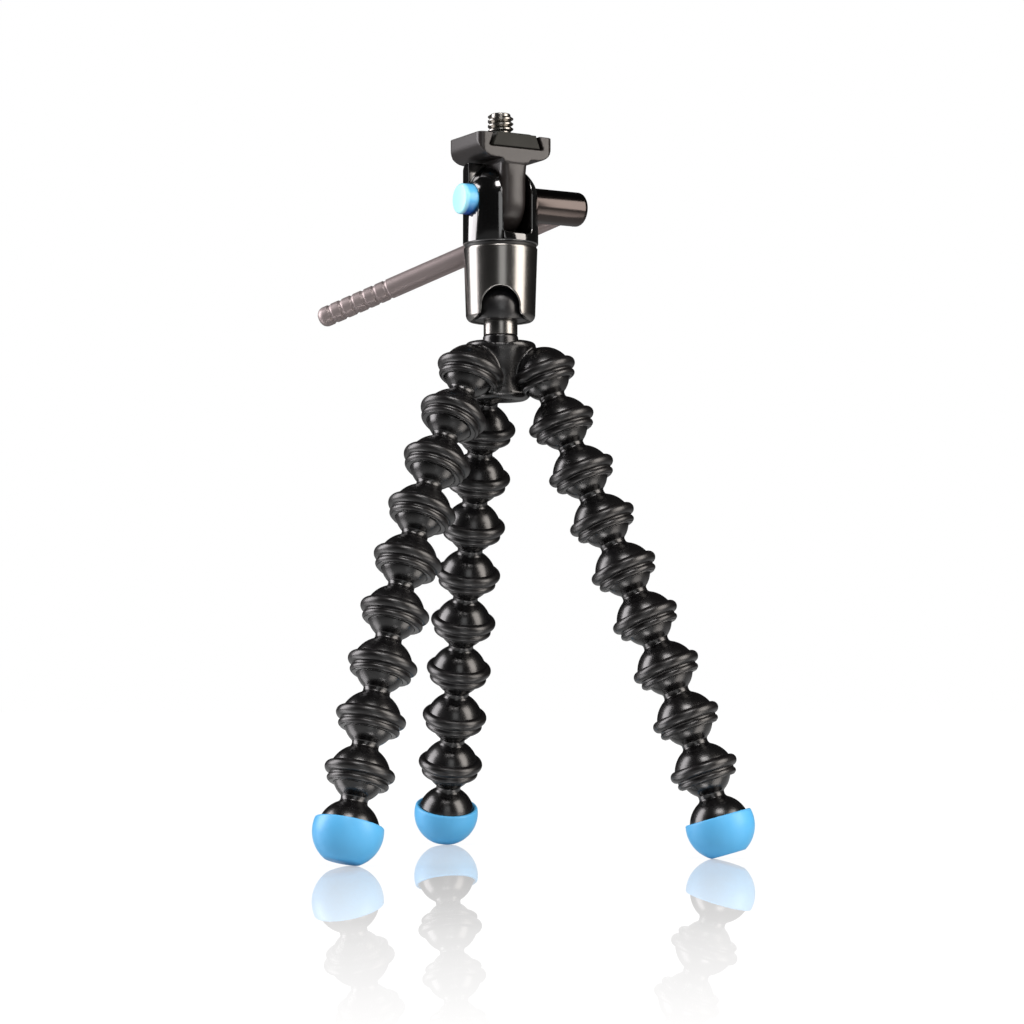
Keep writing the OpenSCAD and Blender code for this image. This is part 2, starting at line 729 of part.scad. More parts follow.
// Rectangle with round corners
module round_rect(w, l, r) {
    square([w - 2 * r, l], center = true);
    square([w, l - 2 * r], center = true);
    for (x = [-1, 1]) for (y = [-1, 1]) translate([x * (w / 2 - r), y * (l / 2 - r)]) circle(r = r);
}

// Section of the dovetail: wide floor, narrow mouth
module dovetail(floor_z, shrink, top_z) {
    slope = (channel_w - channel_mouth) / 2 / channel_t;
    low = channel_w / 2 - shrink - slope * (floor_z - channel_z);
    high = channel_mouth / 2 - shrink;
    polygon([
        [-low, floor_z],
        [low, floor_z],
        [high, plate_z],
        [high, top_z],
        [-high, top_z],
        [-high, plate_z]
    ]);
}

// Tilting platform: round lug, neck and dovetail plate in one casting
module tilt_platform() color("#4a4341") difference() {
    union() {
        tilt_frame() rotate_extrude() intersection() {
            round_rect(2 * lug_r, lug_t, lug_round);
            half_band(-far, far);
        }
        head_frame() translate([0, 0, tilt_z]) linear_extrude(plate_up - plate_t + over)
            round_rect(lug_t, 2 * lug_r, lug_round);
        head_frame() intersection() {
            translate([0, plate_l / 2, 0]) rotate([90, 0, 0]) linear_extrude(plate_l) plate_front();
            linear_extrude(far) round_rect(plate_w, plate_l, plate_corner);
        }
    }
    head_frame() translate([0, plate_l / 2 - channel_stop, 0]) rotate([90, 0, 0])
        linear_extrude(plate_l) dovetail(channel_z, 0, plate_z + over);
    tilt_frame() cylinder(r = axle_r, h = far, center = true);
}

// Axle of the tilt joint, fixed in the lug and the handle's barrel
module tilt_axle() color("#a5a5a7") tilt_frame()
    translate([0, 0, seat_gap - recess_floor])
        cylinder(r = axle_r - seat_gap, h = recess_floor + barrel_bore_l - clip_gap);

// Washers between lug and cheeks
module tilt_washers() color("#141414") tilt_frame() for (side = [-1, 1]) difference() {
    translate([0, 0, side * (lug_t + tilt_washer_t) / 2]) cylinder(d = tilt_washer_d, h = tilt_washer_t,
        center = true);
    cylinder(r = axle_r + run_gap, h = far, center = true);
}

// Slot in the barrel that lets the rod swing between its stops
module rod_slot() {
    reach = 2 * barrel_d;
    low = 180 - fold_low;
    high = 180 - fold_high;
    translate([hinge_x, 0, -slot_half]) linear_extrude(2 * slot_half) {
        circle(r = slot_half);
        polygon([
            slot_half * [sin(high), -cos(high)],
            slot_half * [sin(high), -cos(high)] + reach * [cos(high), sin(high)],
            slot_half * [-sin(low), cos(low)] + reach * [cos(low), sin(low)],
            slot_half * [-sin(low), cos(low)]
        ]);
    }
}

// Barrel on the axle's end that carries the folding rod
module handle_barrel() color("#5a5250") handle_frame() difference() {
    rotate([0, 90, 0]) rotate_extrude() {
        half_strip(barrel_r, barrel_start, barrel_end - barrel_round);
        half_strip(barrel_r - barrel_round, barrel_start, barrel_end);
        translate([barrel_r - barrel_round, barrel_end - barrel_round]) circle(r = barrel_round);
    }
    rotate([0, 90, 0]) cylinder(r = axle_r, h = barrel_bore_l);
    rod_slot();
    translate([hinge_x, 0, 0]) cylinder(d = hinge_pin_d, h = 2 * barrel_d, center = true);
}

// Hinge pin of the handle rod
module handle_pin() color("#a5a5a7") handle_frame() translate([hinge_x, 0, 0])
    cylinder(d = hinge_pin_d - 2 * seat_gap, h = barrel_d - 4 * slot_gap, center = true);

// Handle rod with its finger grooves
module handle_rod() color("#6b6361") handle_frame() translate([hinge_x, 0, 0]) rotate([0, 0, 180 - rod_fold])
    difference() {
        rotate([0, 90, 0]) rotate_extrude() difference() {
            intersection() {
                union() {
                    translate([-rod_r, 0]) square([rod_d, rod_l - rod_tip_round]);
                    translate([rod_tip_round - rod_r, 0]) square([rod_d - 2 * rod_tip_round, rod_l]);
                    translate([rod_r - rod_tip_round, rod_l - rod_tip_round]) circle(r = rod_tip_round);
                    circle(r = rod_r);
                }
                half_band(-far, 2 * rod_l);
            }
            for (i = [0 : grooves - 1])
                translate([rod_r + groove_r - groove_depth, rod_l - groove_inset - i * groove_step])
                    circle(r = groove_r);
        }
        cylinder(d = hinge_pin_d + 2 * seat_gap, h = 2 * rod_d, center = true);
    }

// Hollow push button on the left end of the tilt axis
module release_button() color("#4fb4ee") tilt_frame() mirror([0, 0, 1]) rotate_extrude() difference() {
    face = yoke_r + button_out;
    button_r = button_d / 2;
    union() {
        half_strip(button_r, button_end, face - button_round);
        half_strip(button_r - button_round, button_end, face);
        translate([button_r - button_round, face - button_round]) circle(r = button_round);
    }
    half_strip(button_r - button_wall, button_end - over, face - 2 * button_wall);
}

// Disc spring that pushes the button out
module button_spring() color("#a9a9ab") tilt_frame() mirror([0, 0, 1]) rotate_extrude()
    disc_outline(button_d / 2 - button_wall, button_end - disc_t, button_d / 2 - seat_gap, recess_floor);

// Camera clip that slides in the platform's dovetail
module clip_plate() color("#3f423d") difference() {
    head_frame() translate([0, plate_l / 2 - channel_stop - clip_gap, 0]) rotate([90, 0, 0])
        linear_extrude(plate_l - channel_stop) dovetail(clip_z, clip_gap, pad_z);
    cylinder(r = screw_hole_r, h = far);
    translate([0, 0, channel_z])
        cylinder(r = screw_head_d / 2 + clip_gap, h = screw_head_z + clip_gap - channel_z);
}

// Rubber pad on the clip
module clip_pad() color("#1e1e1e") difference() {
    head_frame() translate([0, 0, pad_z]) linear_extrude(pad_t) round_rect(pad_w, pad_l, plate_corner);
    cylinder(d = retainer_d + 4 * clip_gap, h = far);
}

// Camera screw: coin-slotted head, relief and threaded end
module camera_screw() color("#b9b5ac") difference() {
    rotate_extrude() {
        thread_top = pad_top_z + screw_up;
        half_strip(screw_head_d / 2, screw_z, screw_head_z);
        half_strip(relief_d / 2, screw_z, thread_top - screw_chamfer);
        polygon([
            [0, pad_top_z],
            [screw_r, pad_top_z],
            [screw_r, thread_top - screw_chamfer],
            [screw_r - screw_chamfer, thread_top],
            [0, thread_top]
        ]);
    }
    translate([-screw_head_d, -coin_w / 2, screw_z - over])
        cube([2 * screw_head_d, coin_w, over + screw_head_t / 2]);
}

// Ring that keeps the camera screw in its clip
module screw_retainer() color("#9a9a9c") translate([0, 0, retainer_z]) difference() {
    cylinder(d = retainer_d, h = retainer_t);
    cylinder(d = relief_d + 2 * seat_gap, h = far, center = true);
}

leg_hub();
hub_grip_rings();
ball_stem();
head_ball();
hub_screw();
socket_sleeve();
ball_liner();
liner_spring();
socket_plug();
pan_washer();
pan_yoke();
pan_screw();
pan_spring_washer();
tilt_platform();
tilt_axle();
tilt_washers();
handle_barrel();
handle_pin();
handle_rod();
release_button();
button_spring();
clip_plate();
clip_pad();
camera_screw();
screw_retainer();
for (leg = [0 : 2]) {
    for (i = [1 : LINKS]) leg_link(leg, i);
    foot_body(leg);
    foot_magnet(leg);
    foot_cap(leg);
}
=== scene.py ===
"""Flexible leg tripod: modelled pieces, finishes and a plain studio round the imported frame."""

import json
import math
from types import SimpleNamespace

import bmesh
import bpy
from mathutils import Matrix, Vector

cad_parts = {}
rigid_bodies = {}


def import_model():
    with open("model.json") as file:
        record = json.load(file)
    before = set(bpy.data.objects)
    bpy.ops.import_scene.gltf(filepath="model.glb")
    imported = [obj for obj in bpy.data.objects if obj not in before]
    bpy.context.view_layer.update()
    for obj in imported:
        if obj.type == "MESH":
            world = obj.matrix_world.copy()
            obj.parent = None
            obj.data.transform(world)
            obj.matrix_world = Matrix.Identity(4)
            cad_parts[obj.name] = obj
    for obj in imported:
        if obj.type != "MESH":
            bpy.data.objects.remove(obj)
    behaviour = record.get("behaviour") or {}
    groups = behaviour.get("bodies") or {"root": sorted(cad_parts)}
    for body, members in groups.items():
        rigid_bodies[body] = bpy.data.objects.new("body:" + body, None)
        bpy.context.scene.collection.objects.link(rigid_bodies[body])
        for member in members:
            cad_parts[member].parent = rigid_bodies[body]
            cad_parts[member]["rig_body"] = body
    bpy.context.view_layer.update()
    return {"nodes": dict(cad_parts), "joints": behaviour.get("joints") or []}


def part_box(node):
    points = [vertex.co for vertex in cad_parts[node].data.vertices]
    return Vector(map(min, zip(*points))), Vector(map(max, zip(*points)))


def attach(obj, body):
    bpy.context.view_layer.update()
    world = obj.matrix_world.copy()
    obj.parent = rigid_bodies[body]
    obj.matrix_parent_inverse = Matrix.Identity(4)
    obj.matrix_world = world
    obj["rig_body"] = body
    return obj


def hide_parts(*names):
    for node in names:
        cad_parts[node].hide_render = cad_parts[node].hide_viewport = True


bl_info = {
    "name": "Flexible leg tripod",
    "version": (1, 0, 0),
    "blender": (4, 5, 0),
    "location": "View3D > Sidebar > Tripod",
    "description": "Builds the visible pieces of a small tripod with bendable legs",
    "category": "Object",
}

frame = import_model()

# Metres in a millimetre
MM = 0.001

# Spacing of the nodes in a tree's editor
NODE_STEP = 200

# Legs by name, and the number of links in each
LEGS = ("right", "left", "rear")
LINKS = 8
FOOT = LINKS + 1
NODES = frame["nodes"]
JOINTS = {joint["name"]: joint for joint in frame["joints"]}


# Settings shown in the sidebar


def length(label, note, size_mm):
    """A length property whose default is given in millimetres."""
    return bpy.props.FloatProperty(
        name=label, description=note, default=size_mm * MM, unit="LENGTH", precision=5
    )


def bearing(label, note, degrees):
    """An angle property whose default is given in degrees."""
    return bpy.props.FloatProperty(
        name=label, description=note, default=math.radians(degrees), subtype="ANGLE"
    )


def linear(channel):
    """A screen value from 0 to 255 as linear light."""
    value = channel / 255
    return value / 12.92 if value <= 0.04045 else ((value + 0.055) / 1.055) ** 2.4


def colour(label, note, red, green, blue):
    """A colour property whose default is given in screen values."""
    return bpy.props.FloatVectorProperty(
        name=label,
        description=note,
        default=(linear(red), linear(green), linear(blue)),
        min=0,
        max=1,
        subtype="COLOR",
    )


class TRIPOD_PG_legs(bpy.types.PropertyGroup):
    """Sizes of the links and feet."""

    link_pitch: length("Pitch", "Distance between neighbouring ball centres", 13.1)
    ball_d: length("Ball", "Diameter of a link's ball", 12.2)
    neck_d: length("Neck", "Diameter of a link's neck", 6.4)
    cup_d: length("Cup", "Diameter of a link's dome", 14.6)
    ring_seat_d: length("Ring seat", "Diameter of the cup under its grip ring", 13.5)
    ring_seat_up: length("Ring seat height", "Upper edge of the ring seat above the ball centre", 1.6)
    cup_lip: length("Cup lip", "Depth of the cup's rim below the ball centre", 2.45)
    ball_play: length("Ball play", "Radial play between ball and cup", 0.05)
    neck_fillet: length("Dome fillet", "Fillet between neck and dome", 1.0)
    ball_fillet: length("Ball fillet", "Fillet between neck and ball", 0.7)
    bead_d: length("Bead", "Diameter over a grip ring's bead", 16.7)
    bead_t: length("Bead thickness", "Thickness of a grip ring's bead", 2.9)
    bead_up: length("Bead height", "Height of the bead above the ball centre", 1.0)
    rib_d: length("Rib", "Diameter over a grip ring's rib", 14.7)
    rib_t: length("Rib thickness", "Thickness of a grip ring's rib", 1.7)
    rib_down: length("Rib depth", "Depth of the rib below the ball centre", 1.5)
    ring_valley: length("Ring valley", "Depth of the valley between rib and bead", 0.3)
    seat_gap: length("Seat gap", "Gap between pieces that are pressed together", 0.02)
    cap_d: length("Foot cap", "Diameter of the rubber cap", 16.7)
    cap_rim_up: length("Cap rim height", "Height of the cap's rim above the dome centre", 2.1)
    cap_rim_t: length("Cap rim", "Thickness of the cap's rolled rim", 1.1)
    sole_down: length("Sole", "Depth of the sole below the dome centre", 7.2)
    foot_cut: length("Foot underside", "Depth of the foot body's flat underside", 2.6)
    magnet_d: length("Magnet", "Diameter of the foot magnet", 9.0)
    magnet_t: length("Magnet thickness", "Thickness of the foot magnet", 3.2)
    edge: length("Edge", "Softening of the moulded edges", 0.15)


class TRIPOD_PG_head(bpy.types.PropertyGroup):
    """Sizes of the hub and the head."""

    column_d: length("Column", "Diameter of the hub's lower column", 10.4)
    column_down: length("Column depth", "Depth of the column below the socket centres", 5.9)
    shoulder_d: length("Shoulder", "Diameter of the hub's shoulder", 17.6)
    shoulder_up: length("Shoulder height", "Height of the shoulder above the socket centres", 8.7)
    boss_d: length("Boss", "Diameter of the boss under the stem", 8.8)
    boss_up: length("Boss height", "Height of the boss above the socket centres", 10.4)
    boss_fillet: length("Boss fillet", "Fillet between boss and shoulder", 1.0)
    hub_grain: length("Hub grain", "Size of the hub's surface mesh", 0.3)
    hub_edge: length("Hub edge", "Rounding of the hub's shoulder", 1.2)
    hub_foot: length("Hub foot", "Rounding of the hub's lower edge", 2.5)
    hub_waist: length("Hub waist", "Hollow of the hub's flank", 1.3)
    tilt_room: length("Tilt room", "Radius kept clear for the tilted head", 9.3)
    tilt_behind: length("Tilt room behind", "Reach of that room behind the ball", 3.7)
    hub_splay: bearing("Socket splay", "Splay of the leg sockets from plumb", 22)
    ball_d: length("Head ball", "Diameter of the head's ball", 14.0)
    stem_d: length("Stem", "Diameter of the steel stem", 8.4)
    spigot_d: length("Spigot", "Diameter of the stem's spigot", 5.0)
    core_d: length("Core", "Diameter of the stem's core in the ball", 4.4)
    core_up: length("Core height", "Height of the core above the ball's centre", 2.5)
    sleeve_d: length("Sleeve", "Diameter of the sleeve's upper end", 18.3)
    sleeve_low_d: length("Sleeve mouth", "Diameter of the sleeve's lower end", 17.2)
    sleeve_bore: length("Sleeve bore", "Bore of the sleeve", 16.2)
    sleeve_round: length("Sleeve round", "Radius of the sleeve's lower edge", 1.8)
    sleeve_mouth_d: length("Sleeve lip bore", "Diameter of the turned-in mouth", 14.8)
    sleeve_lip: length("Sleeve lip", "Thickness of the turned-in lip", 1.1)
    notch_w: length("Notch", "Width of the notch for the stem", 9.6)
    notch_flare: length("Notch flare", "Radius of the notch's lower corners", 2.8)
    bevel: length("Bevel", "Bevel of the sleeve's edges", 0.25)
    yoke_d: length("Yoke", "Diameter of the yoke", 18.7)
    rear_up: length("Rear wall", "Distance of the yoke's rear slope from the tilt axis", 9.2)
    tilt_back: bearing("Rear slope", "Slope of the yoke's rear wall, which stops the platform", 18)
    button_d: length("Button", "Diameter of the release button", 7.6)
    button_wall: length("Button wall", "Wall of the hollow button", 0.9)
    rod_d: length("Rod", "Diameter of the handle rod", 5.2)
    rod_l: length("Rod length", "Length of the rod from its hinge pin", 72.0)
    rod_tip: length("Rod tip", "Rounded edge of the rod's tip", 2.0)
    groove_step: length("Groove spacing", "Spacing of the finger grooves", 3.2)
    groove_inset: length("Groove inset", "Distance of the first groove from the tip", 3.9)
    groove_r: length("Groove radius", "Radius of a groove's round bottom", 0.7)
    groove_depth: length("Groove depth", "Depth of a groove", 0.25)
    grooves: bpy.props.IntProperty(name="Grooves", description="Number of finger grooves", default=6)
    screw_d: length("Camera screw", "Diameter of the 1/4-20 camera screw", 6.35)
    thread_pitch: length("Thread pitch", "Pitch of the camera screw's thread", 1.27)
    thread_depth: length("Thread depth", "Depth of the camera screw's thread", 0.7)
    spigot_w: length("Pan spigot", "Diameter of the yoke's pan spigot", 7.0)
    yoke_slot: length("Yoke slot", "Width between the yoke's cheeks", 8.3)
    slot_floor: length("Slot floor", "Height of the slot's floor above the yoke's lower face", 2.15)
    slot_round: length("Slot corners", "Radius of the slot's lower corners", 1.6)
    yoke_edge: length("Yoke edge", "Rounding of the yoke's edges", 0.4)
    button_pocket: length("Button pocket", "Distance of the button pocket's floor from the axis", 5.25)
    barrel_pocket: length("Barrel pocket", "Distance of the barrel pocket's floor from the axis", 7.75)
    button_face: length("Button face", "Distance of the button's face from the axis", 11.75)
    button_end: length("Button end", "Distance of the button's inner end from the axis", 7.55)
    button_round: length("Button round", "Rounded edge of the button", 0.7)
    run_gap: length("Running gap", "Clearance of turning and sliding fits", 0.05)
    platform_grain: length("Platform grain", "Size of the platform's surface mesh", 0.2)
    lug_crown: length("Lug crown", "Rounding of the lug's rim across its width", 1.3)
    barrel_d: length("Barrel", "Diameter of the handle's barrel", 8.6)
    barrel_start: length("Barrel start", "Distance of the barrel's inner end from the axis", 7.85)
    barrel_end: length("Barrel end", "Distance of the barrel's outer end from the axis", 23.4)
    barrel_round: length("Barrel round", "Rounded edge of the barrel's end", 1.5)
    barrel_edge: length("Barrel edge", "Rounding of the barrel's slot", 0.25)
    slot_gap: length("Slot gap", "Clearance of the rod in the barrel's slot", 0.1)
    rod_edge: length("Rod edge", "Softening of the groove edges", 0.12)
    clip_edge: length("Clip edge", "Rounding of the clip's edges", 0.2)
    clip_share: bpy.props.FloatProperty(
        name="Clip width", description="Share of the channel's width that the clip fills", default=0.88
    )
    screw_head_d: length("Screw head", "Diameter of the camera screw's head", 10.0)
    screw_head_t: length("Screw head thickness", "Thickness of the camera screw's head", 1.5)
    coin_w: length("Coin slot", "Width of the camera screw's coin slot", 1.4)
    rod_fold: bearing("Rod fold", "Angle of the folded rod from the barrel's axis", 50)
    slot_low: bearing("Slot's closed side", "Direction of the slot's side at the folded rod", 132)
    slot_high: bearing("Slot's open side", "Direction of the slot's side at the open rod", 48)


class TRIPOD_PG_finishes(bpy.types.PropertyGroup):
    """Colours of the finishes."""

    link: colour("Links", "Moulded plastic of links and hub", 9, 8, 9)
    rubber: colour("Grip rings", "Rubber of the grip rings", 11, 9, 10)
    foot: colour("Foot caps", "Blue rubber of the feet", 86, 176, 230)
    steel: colour("Steel", "Satin steel of the sleeve and stem", 138, 136, 133)
    screw: colour("Camera screw", "Steel of the camera screw", 150, 147, 142)
    chrome: colour("Dark chrome", "Plating of the handle's barrel", 72, 66, 64)
    rod: colour("Rod", "Satin metal of the rod", 172, 160, 159)
    paint: colour("Platform", "Satin paint of the platform", 35, 31, 30)
    yoke: colour("Yoke", "Gloss paint of the yoke", 6, 6, 6)
    button: colour("Button", "Pale blue of the button's face", 172, 238, 250)
    button_side: colour("Button side", "Blue of the button's side", 96, 186, 236)
    # Painted shade: the darker blue painted on the button's underside stands for the shade there
    button_painted_shade: colour("Button underside", "Deep blue of the button's underside", 10, 70, 165)
    clip: colour("Clip", "Moulded plastic of the clip", 36, 36, 32)
    pad: colour("Pad", "Rubber of the clip's pad", 28, 32, 29)
    zinc: colour("Zinc", "Plating of the small hidden metal", 150, 151, 152)


def setting_names(group):
    """Names of the group's own settings."""
    return [name for name in group.bl_rna.properties.keys() if name not in {"rna_type", "name"}]


def millimetres(group):
    """The group's settings as plain values, with lengths in millimetres."""
    values = {}
    for name in setting_names(group):
        value = getattr(group, name)
        is_length = group.bl_rna.properties[name].unit == "LENGTH"
        values[name] = value / MM if is_length else value
    return SimpleNamespace(**values)


# Finishes

# Cycles a metre of the noises in the finishes
CLOUD = 90.0
WIPE = 220.0
HAZE = 160.0
SCRATCH = 900.0
PEEL = 700.0
FLECK = 6000.0
BUTTON_GRAIN = 900.0

# Noise between these values becomes a mask from 0 to 1
WIPE_RANGE = (0.35, 0.7)
FLECK_RANGE = (0.6, 0.75)

# Roughness that each noise adds
WIPE_ROUGH = 0.08
GRAIN_ROUGH = 0.06
HAZE_ROUGH = 0.06
SCRATCH_ROUGH = 0.05
PEEL_ROUGH = 0.06

# Button's least roughness and what its noise adds, and the roughness of the yoke's clear coat
BUTTON_ROUGH = (0.2, 0.1)
COAT_ROUGH = 0.08

# Depth of the paint's orange peel, in millimetres
PEEL_DEPTH = 0.004

# Lightness of the metals' darker and lighter haze, and of the paint's flecks
HAZE_SHADES = (0.9, 1.06)
FLECK_SHADE = 3.0

# Where the button's blue changes, in millimetres: height from the tilt axis, below which painted shade
# deepens its blue, then distance along it
BUTTON_SHADE_RISE = (-3.6, -0.8)
BUTTON_FRONT = (10.6, 11.6)

# Near-black of the head's ball and of the hidden mouldings, as linear light
BALL_BLACK = (0.004, 0.004, 0.005)
INNER_BLACK = (0.008, 0.008, 0.008)


class Flow:
    """A socket in a material's nodes, which takes part in Python expressions."""

    def __init__(self, tree, socket=None):
        self.tree = tree
        self.socket = socket

    def node(self, kind, settings=None, sockets=None, output=0):
        """Adds a node with its settings and socket values or links, and returns one of its outputs."""
        made = self.tree.nodes.new(kind)
        made.location.x = NODE_STEP * len(self.tree.nodes)
        for name, value in (settings or {}).items():
            setattr(made, name, value)
        for key, value in (sockets or {}).items():
            self.feed(made.inputs[key], value)
        return Flow(self.tree, made.outputs[output] if made.outputs else None)

    def feed(self, target, value):
        """Links a flow to a socket, or sets the socket's own value."""
        if isinstance(value, Flow):
            self.tree.links.new(value.socket, target)
        else:
            target.default_value = value

    def maths(self, operation, first, second):
        """One operation on two flows or numbers."""
        return self.node("ShaderNodeMath", {"operation": operation}, {0: first, 1: second})

    def __add__(self, other):
        return self.maths("ADD", self, other)

    def __radd__(self, other):
        return self.maths("ADD", other, self)

    def __sub__(self, other):
        return self.maths("SUBTRACT", self, other)

    def __rsub__(self, other):
        return self.maths("SUBTRACT", other, self)

    def __mul__(self, other):
        return self.maths("MULTIPLY", self, other)

    def __rmul__(self, other):
        return self.maths("MULTIPLY", other, self)


def finish(name, paint):
    """A material whose surface is what paint makes of an empty flow."""
    material = bpy.data.materials.new(name)
    material.use_nodes = True
    tree = material.node_tree
    tree.nodes.clear()
    start = Flow(tree)
    start.node("ShaderNodeOutputMaterial", None, {"Surface": paint(start)})
    return material


def place(flow):
    """Object coordinates."""
    return flow.node("ShaderNodeTexCoord", output="Object")


def noise(flow, where, scale, detail=2.0):
    """Soft noise from 0 to 1, whose scale is in cycles a metre."""
    return flow.node("ShaderNodeTexNoise", None, {"Vector": where, "Scale": scale, "Detail": detail})


def stretched(flow, where, scale):
    """Coordinates stretched by a scale for each axis."""
    return flow.node("ShaderNodeMapping", None, {"Vector": where, "Scale": scale})


def blend(flow, factor, first, second):
    """A colour between two colours, by the numbered colour sockets of the mix."""
    return flow.node(
        "ShaderNodeMix",
        {"data_type": "RGBA"},
        {0: factor, 6: shade(first), 7: shade(second)},
        output=2,
    )


def shade(value, strength=1.0):
    """A colour with its alpha, made lighter or darker."""
    if isinstance(value, Flow):
        return value
    return tuple(min(1, channel * strength) for channel in value[:3]) + (1,)


def contrast(flow, value, low, high):
    """The value spread from 0 at low to 1 at high."""
    return flow.node("ShaderNodeMapRange", None, {0: value, 1: low, 2: high, 3: 0.0, 4: 1.0})


def bump(flow, height, depth_mm):
    """A surface normal raised by a height of that depth."""
    return flow.node(
        "ShaderNodeBump", None, {"Height": height, "Distance": depth_mm * MM, "Strength": 1.0}
    )


def surface(flow, **sockets):
    """The shader, with its sockets named in words joined by underscores."""
    named = {key.replace("_", " "): value for key, value in sockets.items()}
    return flow.node("ShaderNodeBsdfPrincipled", None, named)


def moulding(tint, gloss, grain_mm=0.35, relief=0.006, spread=0.3, shine=0.5):
    """Moulded plastic or rubber: cloudy colour, fine grain, gloss that varies with handling."""

    def paint(flow):
        where = place(flow)
        cloud = noise(flow, where, CLOUD, detail=3.0)
        grain = noise(flow, where, 1 / (grain_mm * MM), detail=3.0)
        wipe = contrast(flow, noise(flow, where, WIPE, detail=4.0), *WIPE_RANGE)
        base = blend(flow, cloud, shade(tint, 1 - spread), shade(tint, 1 + spread))
        return surface(
            flow,
            Base_Color=base,
            Roughness=wipe * WIPE_ROUGH + grain * GRAIN_ROUGH + gloss,
            Specular_IOR_Level=shine,
            Normal=bump(flow, grain, relief),
        )

    return paint


def polished(tint, gloss, lines=(1.0, 1.0, 30.0), marks=0.0008, metal=1.0):
    """Polished metal with fine turning marks along its lines."""

    def paint(flow):
        where = place(flow)
        haze = noise(flow, where, HAZE, detail=4.0)
        scratch = noise(flow, stretched(flow, where, lines), SCRATCH, detail=3.0)
        darker, lighter = HAZE_SHADES
        base = blend(flow, haze, shade(tint, darker), shade(tint, lighter))
        return surface(
            flow,
            Base_Color=base,
            Metallic=metal,
            Roughness=haze * HAZE_ROUGH + scratch * SCRATCH_ROUGH + gloss,
            Normal=bump(flow, scratch, marks),
        )

    return paint


def painted(tint, gloss, coat=0.0, speckle=0.0, shine=0.5):
    """Paint on a casting: faint orange peel, with a fine speckle."""

    def paint(flow):
        where = place(flow)
        peel = noise(flow, where, PEEL)
        fleck = contrast(flow, noise(flow, where, FLECK, detail=1.0), *FLECK_RANGE)
        base = blend(flow, fleck * speckle, shade(tint), shade(tint, FLECK_SHADE))
        return surface(
            flow,
            Base_Color=base,
            Roughness=peel * PEEL_ROUGH + gloss,
            Specular_IOR_Level=shine,
            Coat_Weight=coat,
            Coat_Roughness=COAT_ROUGH,
            Normal=bump(flow, peel, PEEL_DEPTH),
        )

    return paint


def button_blue(pale, sky, deep):
    """Blue of the button: pale on its face, and on its side deepened towards the underside by painted
    shade.
    """

    def paint(flow):
        where = place(flow)
        height = flow.node("ShaderNodeSeparateXYZ", None, {0: where}, output="Z")
        along = flow.node(
            "ShaderNodeVectorMath", {"operation": "DOT_PRODUCT"}, {0: where, 1: -TILT_AXIS}, output="Value"
        )
        # Painted shade: below these heights the side's blue turns from sky to deep towards the bottom of
        # the button
        upper = contrast(flow, height, *(TILT.z + rise_mm * MM for rise_mm in BUTTON_SHADE_RISE))
        face = contrast(flow, along, *(front_mm * MM for front_mm in BUTTON_FRONT))
        side = blend(flow, upper, deep, sky)
        least, more = BUTTON_ROUGH
        return surface(
            flow,
            Base_Color=blend(flow, face, side, pale),
            Roughness=noise(flow, where, BUTTON_GRAIN) * more + least,
        )

    return paint


def make_finishes(tints):
    """Every finish of the tripod by its slot."""
    recipes = {
        "link_plastic": moulding(tints.link, 0.2, relief=0.002, shine=0.8),
        "grip_rubber": moulding(tints.rubber, 0.27, relief=0.002, shine=0.75),
        "foot_rubber": moulding(tints.foot, 0.34, grain_mm=0.5, spread=0.06),
        "magnet_plating": polished(tints.zinc, 0.2),
        "ball_plastic": moulding(BALL_BLACK, 0.27, relief=0.002, shine=1.0),
        "stem_steel": polished(tints.steel, 0.2),
        "screw_steel": polished(tints.zinc, 0.25),
        "sleeve_steel": polished(tints.steel, 0.19),
        "inner_plastic": moulding(INNER_BLACK, 0.45),
        "spring_steel": polished(tints.zinc, 0.22),
        "yoke_paint": painted(tints.yoke, 0.09, coat=1.0, shine=1.0),
        "platform_paint": painted(tints.paint, 0.32, speckle=0.06, shine=0.5),
        "barrel_chrome": polished(tints.chrome, 0.13),
        "rod_metal": polished(tints.rod, 0.44, marks=0.0, metal=0.8),
        "button_plastic": button_blue(tints.button, tints.button_side, tints.button_painted_shade),
        "clip_plastic": moulding(tints.clip, 0.55, shine=0.3),
        "pad_rubber": moulding(tints.pad, 0.55, grain_mm=0.25, relief=0.02),
        "camera_screw_steel": polished(tints.screw, 0.2, lines=(1.0, 1.0, 8.0)),
    }
    return {slot: finish(slot, paint) for slot, paint in recipes.items()}


# Outlines, in millimetres: distance from the axis, then height

# Corners that turn by less than this, in degrees, stay as they are
SOFT_TURN = 35

# Largest share of a side that a rounded corner takes up
SOFT_SHARE = 0.45

# Points of a rounded corner, as shares of its length
SOFT_STEPS = (0, 0.25, 0.5, 0.75, 1)

# Sides shorter than this, in millimetres, have no direction
NO_LENGTH = 1e-6


def arc(centre, radius, start, end, steps):
    """Points of an arc, with its angles in degrees from the outward direction."""
    points = []
    for step in range(steps + 1):
        angle = math.radians(start + (end - start) * step / steps)
        points.append((centre[0] + radius * math.cos(angle), centre[1] + radius * math.sin(angle)))
    return points


def moved(points, up):
    """The outline moved along its axis."""
    return [(radius, height + up) for radius, height in points]


def rise(radius, height):
    """Angle in degrees at which a circle round the origin reaches a height."""
    return math.degrees(math.asin(height / radius))


def half_width(radius, height):
    """Half the width of a circle at a height."""
    return math.sqrt(radius * radius - height * height)


def crossing(centre, radius, big_radius):
    """Angles of a small circle at which it crosses a circle round the origin."""
    reach = math.hypot(*centre)
    turn = (big_radius**2 - reach**2 - radius**2) / (2 * reach * radius)
    middle = math.degrees(math.atan2(centre[1], centre[0]))
    opening = math.degrees(math.acos(turn))
    return middle + opening, middle - opening


